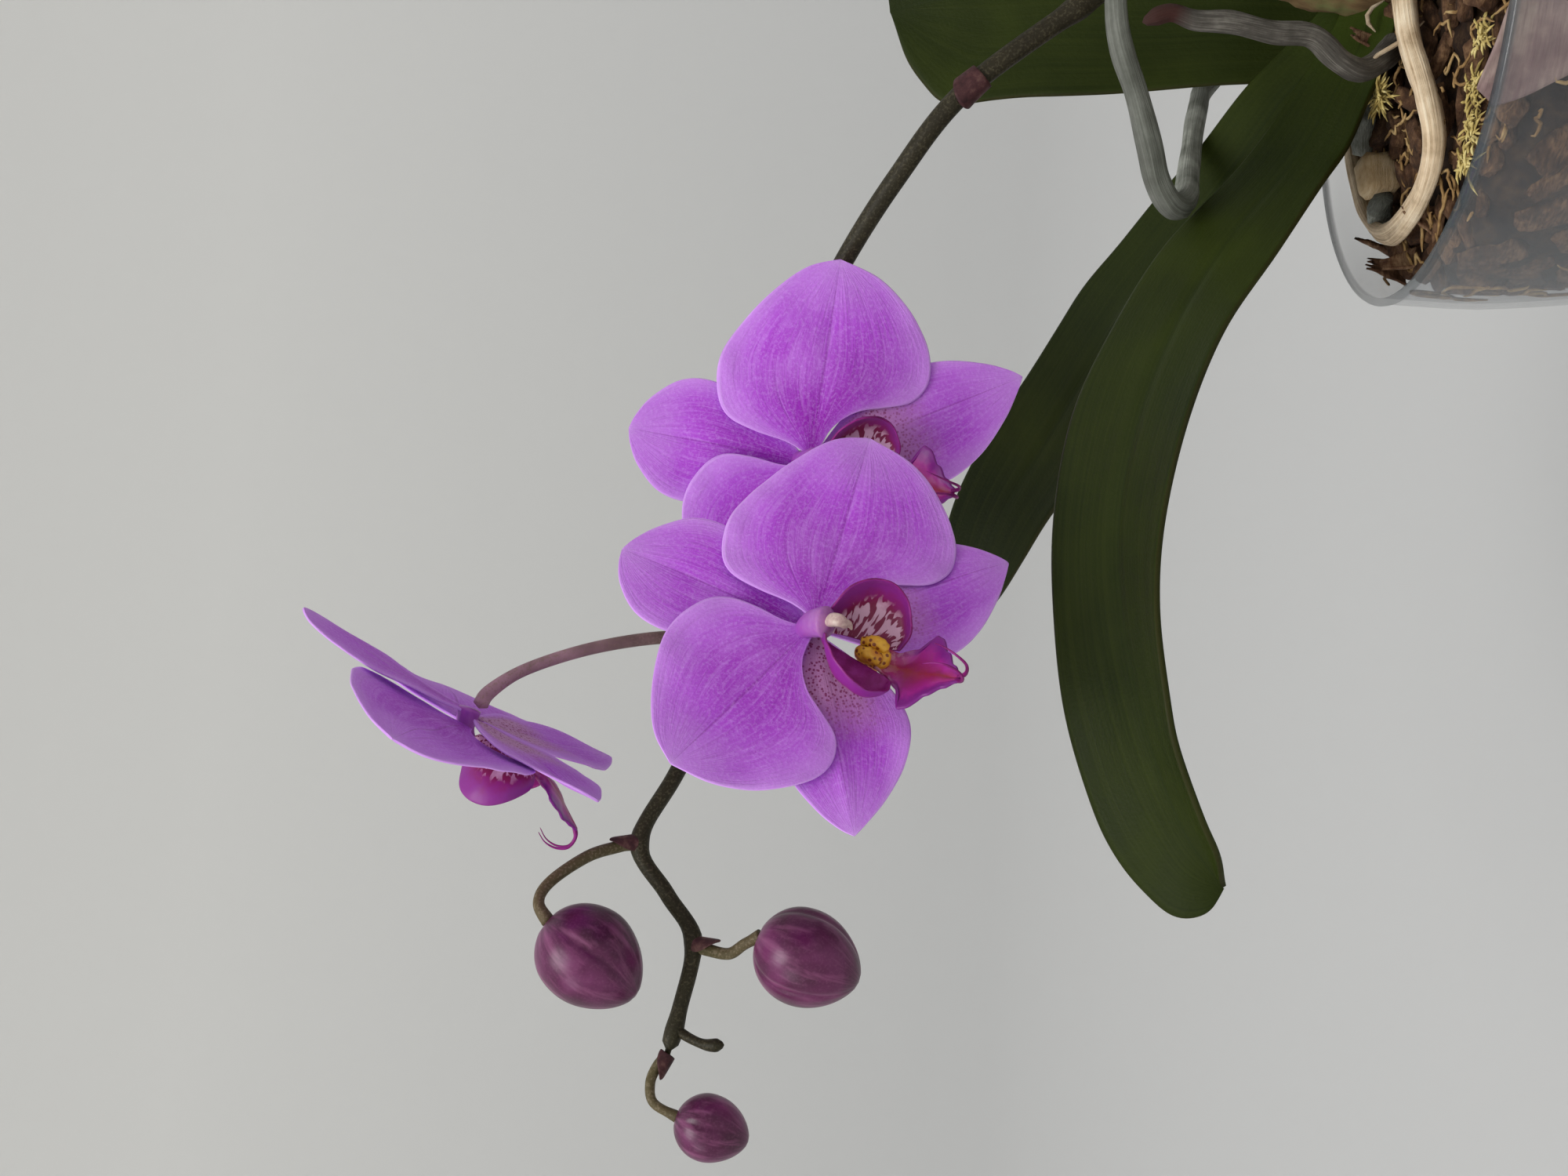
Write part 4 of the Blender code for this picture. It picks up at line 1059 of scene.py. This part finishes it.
def petal_material(name, dots=None):
    """Velvety blades: a deep middle, pale margins, fine veins along the blade, a darker middle line
    that is painted shade, and a fine grain of pale flecks that are painted glints.  dots adds
    crimson freckles on a pale ground near the claw, on one side."""
    material, tree, shader = new_material(
        name, Roughness=0.60, Specular_IOR_Level=0.14, Sheen_Weight=0.06, Sheen_Roughness=0.45,
        Sheen_Tint=(0.95, 0.80, 1.0, 1), Subsurface_Weight=0.12, Subsurface_Scale=0.0012,
    )
    shader.inputs["Subsurface Radius"].default_value = (1.0, 0.4, 0.9)
    uv = unrolled(tree)
    place = object_place(tree)
    apart = node(tree, "SeparateXYZ", Vector=uv)
    across = from_middle(tree, apart.outputs["Y"])
    lines = stretched(tree, uv, (3.0, 44, 1))
    veins = cloudy(tree, lines, 1.0, 3, 0.6, 0.5)
    cloud = cloudy(tree, place, 70, 3)
    grain = cloudy(tree, place, 1700, 2, 0.7)
    outwards = span(tree, maths(tree, "MAXIMUM", across, apart.outputs["X"]), 0, 1, 0, 0.88)
    ragged = maths(tree, "MULTIPLY_ADD", veins, 0.14, outwards)
    half_pale = tuple((one + other) / 2 for one, other in zip(MID, PALE))
    body = ramp(tree, ragged, (0.24, DEEP), (0.66, MID), (0.90, half_pale), (0.955, PALE))
    paler = span(tree, cloud, 0.46, 0.70, 0, 0.42)
    tone = mix(tree, paler, body, half_pale)
    line = span(tree, veins, 0.52, 0.70, 0, 0.22)
    tone = mix(tree, line, tone, tuple(part * 0.62 for part in DEEP))
    bright = span(tree, veins, 0.48, 0.34, 0, 0.45)
    tone = mix(tree, bright, tone, half_pale)
    # Painted shade: a darker line down the sunk middle crease of each blade.
    middle = span(tree, across, 0.0, 0.022, 0.45, 0.0)
    tone = mix(tree, middle, tone, tuple(part * 0.5 for part in DEEP))
    # Painted glints: fine pale flecks mixed into the colour for the petals' sparkle.
    light = span(tree, grain, 0.46, 0.80, 0, 0.45)
    tone = mix(tree, light, tone, PALE)
    if dots:
        inner = span(tree, across, 0.50, 0.85, 1.0, 0.0)
        near = span(tree, apart.outputs["X"], 0.30, 0.56, 1.0, 0.0)
        both = maths(tree, "MULTIPLY", inner, near)
        ground = mix(tree, both, tone, (0.52, 0.24, 0.50))
        freckle = node(tree, "TexVoronoi", Vector=place, Scale=1500)
        spot = span(tree, freckle.outputs["Distance"], 0.26, 0.44, 0.85, 0.0)
        tone = mix(tree, maths(tree, "MULTIPLY", spot, both), ground, dots)
    surfaced(tree, shader, tone, maths(tree, "MULTIPLY_ADD", veins, 1.6, grain), 0.45, 0.00028)
    return material


petal_violet = petal_material("petal_magenta")
sepal_freckled = petal_material("sepal_freckled", dots=(0.22, 0.012, 0.10))

PETAL_UPPER = [(1.6, 1.2), (3.4, 5.5), (4.6, 12.0), (7.0, 18.2), (12.0, 21.0), (19.0, 21.4), (26.0, 18.2),
               (33.5, 12.8),
               (39.5, 6.5), (42.0, 0.0)]
PETAL_LOWER = [(1.6, 1.2), (7.5, 3.4), (11.5, 8.0), (13.5, 14.0), (15.6, 19.2), (20.5, 22.0), (27.0, 20.8),
               (34.0, 15.8), (39.5, 8.6), (42.0, 0.0)]
DORSAL_EDGE = [(1.6, 1.4), (8.0, 5.6), (16.0, 10.4), (24.0, 12.8), (31.0, 11.8), (36.5, 7.4), (39.2, 3.2),
               (40.2, 0.0)]
LATERAL_INNER = [(1.6, 1.4), (7.5, 6.8), (14.0, 12.2), (21.0, 14.2), (28.5, 11.8), (35.0, 6.9), (39.0, 2.6),
                 (41.0, 0.0)]
LATERAL_OUTER = [(1.6, 1.4), (8.0, 5.8), (15.0, 9.4), (22.0, 10.6), (29.0, 9.2), (35.5, 5.6), (39.4, 2.2),
                 (41.0, 0.0)]


def scaled(edge, along, out):
    return [(a * along, b * out) for a, b in edge]


def surface_height(lift, rise, camber, crease, seed):
    """A gently domed blade with a sunk middle line and slow waves."""
    def height(a, b):
        share = a / 42
        fold = -crease * math.exp(-((b / 1.3) ** 2)) * math.sin(math.pi * min(1.0, share))
        ripple = noise.noise(Vector((a / 13, b / 13, seed))) * min(1.0, share * 2)
        edge_wave = 0.5 * noise.noise(Vector((a / 5, b / 5, seed + 7))) * min(1.0, (abs(b) / 18) ** 3)
        return lift + rise * share * share - camber * (b / 20) ** 2 + fold + ripple + edge_wave
    return height


for i, (flower, (centre, pose)) in enumerate(FLOWERS.items()):
    place = flower_frame(centre, *pose)
    dorsal_share = (1.0, 0.94, 1.02)[i]
    edge = scaled(DORSAL_EDGE, dorsal_share, (1.0, 1.0, 0.80)[i])
    finished(
        blade(flower + "_dorsal", place, (-1, -3, 0)[i], edge, edge, surface_height(-1.2, -3.6, -1.5, 0.35, 3 + i)),
        petal_violet, "petal_magenta", flower + "_dorsal_sepal",
    )
    turn, stretch = ((128, 1.0), (143, 1.17), (136, 1.0))[i]
    inner, outer = scaled(LATERAL_INNER, stretch, 1.0), scaled(LATERAL_OUTER, stretch, 1.0)
    finished(
        blade(flower + "_lateral_right", place, turn, outer, inner, surface_height(-0.6, -1.5, 0.8, -0.5, 11 + i)),
        sepal_freckled, "petal_magenta", flower + "_lateral_sepal_right",
    )
    mirrored = place @ Matrix.Scale(-1, 4, (1, 0, 0))
    finished(
        blade(flower + "_lateral_left", mirrored, turn, outer, inner, surface_height(-0.6, -1.5, 0.8, -0.5, 17 + i)),
        sepal_freckled, "petal_magenta", flower + "_lateral_sepal_left",
    )
    right_turn, left_turn, rise = ((77, 77, 1.5), (84, 78, 1.5), (76, 76, 1.5))[i]
    finished(
        blade(flower + "_petal_right_blade", place, right_turn, PETAL_UPPER, PETAL_LOWER,
              surface_height(1.4, rise, 1.8, 0.35, 23 + i)),
        petal_violet, "petal_magenta", flower + "_petal_right",
    )
    left_size = (0.93, 0.93, 1.0)[i]
    finished(
        blade(flower + "_petal_left_blade", mirrored, left_turn, scaled(PETAL_UPPER, left_size, left_size),
              scaled(PETAL_LOWER, left_size, left_size), surface_height(1.4, rise, 1.8, 0.35, 31 + i)),
        petal_violet, "petal_magenta", flower + "_petal_left",
    )

# --- Lips and columns -----------------------------------------------------------------------
# In the middle of each flower a short lilac column carries a cream anther cap.  Under it hangs
# the lip: two cupped side lobes, striped inside, a spotted yellow callus between them, and a
# crimson anchor-shaped midlobe that ends in two curling whiskers.
lobe_inside, tree, shader = new_material("lip_lobe_inside", Roughness=0.45, Specular_IOR_Level=0.4)
lobe_uv = unrolled(tree)
lobe_place = object_place(tree)
lobe_along = node(tree, "SeparateXYZ", Vector=lobe_uv).outputs["X"]
dashes = cloudy(tree, stretched(tree, lobe_uv, (4, 19, 1)), 1.0, 1, distortion=0.4)
striped = ramp(tree, dashes, (0.475, (0.66, 0.40, 0.55)), (0.515, (0.20, 0.008, 0.06)))
lobe_cloud = cloudy(tree, lobe_place, 600, 3)
deeper = maths(tree, "MULTIPLY_ADD", lobe_cloud, 0.30, lobe_along)
rim_share = span(tree, deeper, 0.62, 0.82)
rim_tone = ramp(tree, deeper, (0.70, (0.25, 0.010, 0.10)), (1.0, (0.24, 0.016, 0.24)))
surfaced(tree, shader, mix(tree, rim_share, striped, rim_tone), lobe_cloud, 0.3, 0.0002)

lip_crimson = rubbed_material(
    "lip_crimson", (0.13, 0.004, 0.09), (0.24, 0.010, 0.16), (0.36, 0.035, 0.30), 420, roughness=0.42, depth=0.00015
)
midlobe_finish, tree, shader = new_material("lip_midlobe", Roughness=0.40, Specular_IOR_Level=0.45)
mid_uv = unrolled(tree)
mid_parts = node(tree, "SeparateXYZ", Vector=mid_uv)
mid_grain = cloudy(tree, object_place(tree), 900, 3)
mid_across = from_middle(tree, mid_parts.outputs["Y"])
mid_outwards = maths(tree, "MULTIPLY_ADD", mid_grain, 0.35, mid_across)
wing_tone = ramp(tree, mid_outwards, (0.18, (0.30, 0.014, 0.045)), (0.34, (0.30, 0.010, 0.11)),
                 (0.75, (0.36, 0.012, 0.26)), (1.0, (0.20, 0.010, 0.22)))
foot_share = span(tree, mid_parts.outputs["X"], 0.02, 0.30, 0.75, 0.0)
foot_tone = ramp(tree, mid_grain, (0.46, (0.62, 0.30, 0.30)), (0.56, (0.42, 0.03, 0.03)))
surfaced(tree, shader, mix(tree, foot_share, wing_tone, foot_tone), mid_grain, 0.3, 0.0002)

callus_yellow, tree, shader = new_material("lip_callus", Roughness=0.35, Specular_IOR_Level=0.5)
callus_place = object_place(tree)
callus_spots = node(tree, "TexVoronoi", Vector=callus_place, Scale=1000)
callus_noise = cloudy(tree, callus_place, 420, 2)
gold = ramp(tree, callus_noise, (0.35, (0.55, 0.20, 0.010)), (0.60, (0.78, 0.42, 0.035)))
spot_share = span(tree, callus_spots.outputs["Distance"], 0.30, 0.42, 0.9, 0.0)
surfaced(tree, shader, mix(tree, spot_share, gold, (0.16, 0.012, 0.008)), callus_spots.outputs["Distance"],
         0.35, 0.0003)

column_lilac, tree, shader = new_material(
    "column_lilac", Roughness=0.42, Specular_IOR_Level=0.45, Subsurface_Weight=0.2, Subsurface_Scale=0.001
)
column_uv = unrolled(tree)
column_grain = cloudy(tree, object_place(tree), 800, 3)
column_tone = ramp(tree, node(tree, "SeparateXYZ", Vector=column_uv).outputs["X"], (0.0, (0.38, 0.07, 0.48)),
                   (0.45, (0.34, 0.08, 0.43)), (0.80, (0.40, 0.15, 0.46)), (1.0, (0.44, 0.16, 0.42)))
column_shade = span(tree, column_grain, 0.40, 0.70, 0, 0.55)
surfaced(tree, shader, mix(tree, column_shade, column_tone, (0.32, 0.06, 0.40)), column_grain, 0.3, 0.0002)
anther_cream = rubbed_material(
    "anther_cream", (0.42, 0.24, 0.26), (0.62, 0.46, 0.42), (0.80, 0.70, 0.62), 900, roughness=0.38, depth=0.0001
)

LOBE_FOOT = path([(1.0, -2.6, 1.6), (1.7, -6.0, 2.4), (2.3, -10.5, 3.0), (2.9, -15.2, 3.4)])
LOBE_RIM = path([(1.5, -1.2, 3.4), (3.2, -2.4, 8.2), (7.0, -4.0, 12.2), (10.0, -7.0, 13.2), (11.3, -11.0, 12.2),
                 (10.4, -14.6, 9.2), (6.6, -17.0, 6.0), (3.4, -16.4, 3.6)])
MID_LINE = path([(0, -13.6, 3.4), (0, -16.0, 2.6), (0, -19.0, 2.9), (0, -22.5, 4.8), (0, -26.0, 7.8),
                 (0, -29.3, 10.4)])
MID_WIDTH = stations((0.0, 2.3), (0.13, 2.7), (0.27, 4.6), (0.37, 8.7), (0.44, 8.2), (0.62, 5.0), (0.82, 2.6),
                     (0.95, 1.2), (1.0, 0.5))


def lobe_shape(u, v):
    """A side lobe, from its foot beside the callus out to its curved rim, hollow inside."""
    foot, rim = LOBE_FOOT((v + 1) / 2), LOBE_RIM((v + 1) / 2)
    spot = foot.lerp(rim, u)
    hollow = 3.4 * math.sin(math.pi * u) * math.cos(v * math.pi / 2) ** 0.7
    curl = 0.9 * u**6 * math.cos(v * math.pi / 2)
    wave = 0.35 * u * noise.noise(spot / 3)
    return spot + Vector((hollow * 0.72 - curl + wave, -0.15 * hollow, -0.62 * hollow))


def midlobe_shape(u, v):
    """Anchor shaped: a narrow neck, two wings that sweep back a little, then a long keeled point."""
    spine = MID_LINE(u)
    half = MID_WIDTH(u)
    keel = 0.9 * (1.0 - abs(v)) * math.sin(math.pi * min(1.0, u * 1.1))
    lift = 2.4 * abs(v) ** 1.6 * min(1.0, half / 5)
    wave = 0.30 * noise.noise(Vector((v * 3, u * 5, 2.0)))
    return spine + Vector((half * v, -1.3 * abs(v) ** 1.5 * min(1.0, half / 6), lift + keel + wave))


def lobe_wall(obj, wall=0.0005):
    """Gives a lobe its thickness and, on its outer side, the plain crimson."""
    obj.data.materials.append(lobe_inside)
    obj.data.materials.append(lip_crimson)
    on_all_faces(obj, bpy.ops.mesh.normals_make_consistent, inside=False)
    apply_modifier(obj, "SOLIDIFY", thickness=wall, offset=0.0, material_offset=1, material_offset_rim=1)
    apply_modifier(obj, "SUBSURF", levels=1, render_levels=1)
    tidy_mesh(obj)
    return obj


def set_in(place, line):
    return [place @ Vector(spot) for spot in line]


def whisker(place, side):
    """One curling thread from the midlobe's point."""
    line = [(side * 0.3, -28.6, 9.9), (side * 0.8, -29.8, 11.8), (side * 1.1, -29.4, 14.2), (side * 1.3, -27.2, 15.4),
            (side * 1.8, -24.6, 15.2), (side * 2.4, -22.4, 13.8)]
    return stalk("whisker", set_in(place, line),
                 stations((0, 0.00048), (0.4, 0.00028), (1.0, 0.00010)), 34, 8)


for flower, (centre, pose) in FLOWERS.items():
    front = flower == "flower_front"
    place = flower_frame(centre, *pose)
    lip_place = place @ Matrix.Translation((-1.5 if front else 0.0, 0, 0))
    lobes = []
    for side in (1, -1):
        shift = Matrix.Identity(4) if side == 1 else Matrix.Translation((0, -1.5, 0.6)) @ Matrix.Scale(-1, 4,
                                                                                                       (1, 0,
                                                                                                        0))
        spread = lip_place @ shift
        lobes.append(lobe_wall(sheet("lobe", 22, 30, lambda u, v, spread=spread: spread @ lobe_shape(u, v))))
    side_lobes = joined(lobes, flower + "_lip_side_lobes")
    finished(side_lobes, None, "lip_crimson", flower + "_lip")
    midlobe = sheet("midlobe", 40, 26, lambda u, v: lip_place @ midlobe_shape(u, v))
    finished(thick(midlobe, 0.00065, 1), midlobe_finish, "lip_crimson", flower + "_lip")
    midlobe.name = flower + "_lip_midlobe"
    whiskers = joined([whisker(lip_place, side) for side in (1, -1)], flower + "_lip_whiskers")
    finished(whiskers, lip_crimson, "lip_crimson", flower + "_lip")

    ridges = []
    for side in (1, -1):
        line = [(side * 0.9, -9.6, 4.2), (side * 1.3, -11.4, 5.6), (side * 1.35, -13.2, 6.0),
                (side * 1.2, -15.0, 5.2)]
        ridges.append(stalk(
            "ridge", set_in(lip_place, line),
            stations((0, 0.0004), (0.18, 0.0012), (0.5, 0.0014), (0.85, 0.0012), (1.0, 0.0003)), 26, 18,
            lambda u, angle, side=side: 1.0 + 0.22 * noise.noise(
                Vector((math.cos(angle) * 2, math.sin(angle) * 2 + side * 5, u * 7))),
        ))
    neck = [(0, -9.5, 1.8), (0, -12.0, 3.3), (0, -14.2, 3.6), (0, -16.0, 3.0)]
    ridges.append(stalk("neck", set_in(lip_place, neck),
                        stations((0, 0.0010), (0.3, 0.0022), (0.8, 0.0023), (1.0, 0.0009)), 20, 16))
    finished(joined(ridges, flower + "_lip_callus"), callus_yellow, "lip_crimson", flower + "_lip")

    line = [(0, 1.6, -2.2), (0, 1.2, 0.4), (0, 0.4, 3.2), (0, -1.6, 6.2), (0, -3.6, 8.0)]
    column = stalk(
        flower + "_column_stalk", set_in(lip_place, line),
        stations((0, 0.0024), (0.30, 0.0020), (0.70, 0.0025), (0.90, 0.0027), (1.0, 0.0013)), 40, 26,
        lambda u, angle: 1.0 + 0.10 * math.cos(2 * angle) * u, (1, 0, 0),
    )
    finished(column, column_lilac, "column_lilac", flower + "_column")
    line = [(0, -3.0, 7.6), (0, -4.2, 9.2), (0, -5.6, 9.9), (0, -6.9, 9.0)]
    cap = stalk(
        "cap", set_in(lip_place, line),
        stations((0, 0.0009), (0.30, 0.0013), (0.62, 0.0012), (0.86, 0.0008), (1.0, 0.0003)), 26, 22,
        lambda u, angle: 1.0 + 0.18 * math.cos(3 * angle) * u * (1 - u) * 3, (1, 0, 0),
    )
    beak = stalk("beak", set_in(lip_place, [(0.9, -5.0, 8.4), (1.2, -6.6, 8.2), (0.8, -7.6, 7.4)]),
                 stations((0, 0.0007), (0.5, 0.0007), (1.0, 0.0002)), 14, 10)
    finished(joined([cap, beak], flower + "_anther_cap"), anther_cream, "column_lilac", flower + "_column")

# --- Flower stalks, bracts and buds ---------------------------------------------------------
# Each flower and bud hangs on its own thin curved stalk, olive where it leaves the spike and
# pinkish towards the flower.  The closed buds are three fleshy sepals that meet in seams.
pedicel_pink = stalk_material("pedicel_pink", (0.13, 0.10, 0.050), (0.46, 0.26, 0.33), (0.34, 0.22, 0.20), 0.12, 0.72)
pedicel_olive = stalk_material("pedicel_olive", (0.10, 0.085, 0.038), (0.12, 0.090, 0.045), (0.24, 0.19, 0.12),
                               0.1, 0.9)


def pedicel(flower, points, radius, finish, node_name=None, slot="spike_olive"):
    swell = stations((0, 1.25), (0.10, 1.0), (0.80, 0.90), (1.0, 1.15))
    finished(stalk(flower + "_stalk", points, lambda u: radius * swell(u), 70, 14), finish, slot,
             node_name or flower + "_pedicel")


def behind(flower, back):
    centre, pose = FLOWERS[flower]
    return flower_frame(centre, *pose) @ Vector((0, 0, -back))


pedicel("flower_front", [at(-122, 42, 127), at(-122, 40.5, 129), at(-123, 31, 139), at(-124, 18, 142),
                         at(-126, 4, 138),
                         at(-130, -8, 126), behind("flower_front", 2.6)], 0.0014, pedicel_pink)
pedicel("flower_middle", [at(-87, 37, 119), at(-87, 35, 120), at(-94, 31, 117.5), behind("flower_middle", 2.6)],
        0.0014,
        pedicel_pink)
pedicel("flower_top", [at(-136, 42.5, 124.5), at(-136, 40, 129.5), at(-136, 36, 139), at(-139, 31, 153),
                       at(-144, 27, 166), at(-149, 25, 173), behind("flower_top", 2.8)], 0.0014, pedicel_pink)
pedicel("bud_1", [at(-179, 32, 141), at(-180, 31, 145), at(-182, 28, 151), at(-187, 24, 158), at(-191, 21, 160),
                  at(-194.8, 18.8, 157.4)], 0.0013, pedicel_olive)
pedicel("bud_2", [at(-199, 26.5, 127.5), at(-199.5, 25, 124.5), at(-199.5, 22.5, 120.5), at(-197, 20.5, 117.5),
                  at(-194.8, 18.8, 114.2)], 0.0013, pedicel_olive)
pedicel("bud_3", [at(-220.6, 22, 132), at(-223.5, 21.5, 134), at(-226.5, 20, 135), at(-230, 18.5, 134),
                  at(-232.3, 16.9, 128.8)], 0.0011, pedicel_olive)

for name, foot, way, out, length in (
    ("bract_flower_top", at(-136, 42.4, 124.7), (0, -3.2, 9), (-1, -0.5, 0), 0.0062),
    ("bract_bud_1", at(-179, 31.9, 140.8), (-1.2, -1.2, 4.4), (1, -0.5, 0.3), 0.0060),
    ("bract_bud_2", at(-198.8, 26.5, 127.6), (-0.4, -1.6, -3.2), (1, -0.3, -0.2), 0.0058),
    ("bract_bud_3", at(-220.4, 22.1, 131.9), (-3, -0.5, 2), (0, -0.5, -1), 0.0052),
):
    finished(bract(name + "_scale", foot, way, out, length, 0.00185, 2.1), bract_red, "bract_purple", name)

bud_maroon, tree, shader = new_material("bud_maroon", Roughness=0.34, Specular_IOR_Level=0.40)
bud_uv = unrolled(tree)
bud_place = object_place(tree)
bud_parts = node(tree, "SeparateXYZ", Vector=bud_uv)
bud_streaks = cloudy(tree, stretched(tree, bud_uv, (2.6, 26, 1)), 1.0, 3, distortion=0.3)
bud_patches = cloudy(tree, bud_place, 95, 3)
bud_grain = cloudy(tree, bud_place, 1900, 2)
bud_body = ramp(tree, bud_patches, (0.36, (0.056, 0.004, 0.031)), (0.52, (0.098, 0.009, 0.060)),
                (0.68, (0.17, 0.030, 0.115)))
streak_share = span(tree, bud_streaks, 0.50, 0.70, 0, 0.62)
bud_tone = mix(tree, streak_share, bud_body, (0.28, 0.080, 0.19))
cell_share = span(tree, bud_grain, 0.50, 0.75, 0, 0.22)
bud_tone = mix(tree, cell_share, bud_tone, (0.24, 0.08, 0.17))
tip_share = span(tree, bud_parts.outputs["X"], 0.86, 1.0, 0, 0.6)
bud_tone = mix(tree, tip_share, bud_tone, (0.055, 0.006, 0.030))
surfaced(tree, shader, bud_tone, bud_streaks, 0.25, 0.0004)


def egg(u):
    """A blunt top, fullest just above the middle, and a drawn-in tip."""
    return (max(0.0, u) ** 0.50) * (max(0.0, 1.0 - u) ** 0.62) / 0.463


def bud(name, top, direction, length, radius, turn, flat, seed):
    """An egg of three fleshy sepals: their seams are sunk and their middles swell a little."""
    way = Vector(direction).normalized()
    points = [top + way * (length * share) for share in (0.0, 0.33, 0.66, 1.0)]

    def skin(u, angle):
        three = math.cos(3 * (angle + turn + 0.25 * u))
        seam = -0.060 * math.exp(-(1.0 + three) / 0.05) * max(0.0, math.sin(math.pi * u)) ** 0.5
        swell = 0.030 * three * math.sin(math.pi * u)
        squash = 1.0 - flat * math.cos(angle * 2 + turn) * 0.5
        uneven = 0.02 * noise.noise(Vector((math.cos(angle), math.sin(angle), u * 3 + seed)))
        return (1.0 + seam + swell + uneven) * squash
    piece = stalk(name + "_closed_sepals", points, lambda u: radius * egg(0.004 + 0.992 * u), 90, 96, skin)
    finished(piece, bud_maroon, "bud_maroon", name)


bud("bud_1", at(-194.5, 19, 158), (-13, -2, -18), 0.0235, 0.0104, 0.55, 0.05, 1)
bud("bud_2", at(-195, 19, 115), (-8, -4, -22), 0.0225, 0.0099, 1.25, 0.05, 2)
bud("bud_3", at(-232.2, 17, 129.4), (-4, -2, -16), 0.0155, 0.0069, 0.2, 0.04, 3)
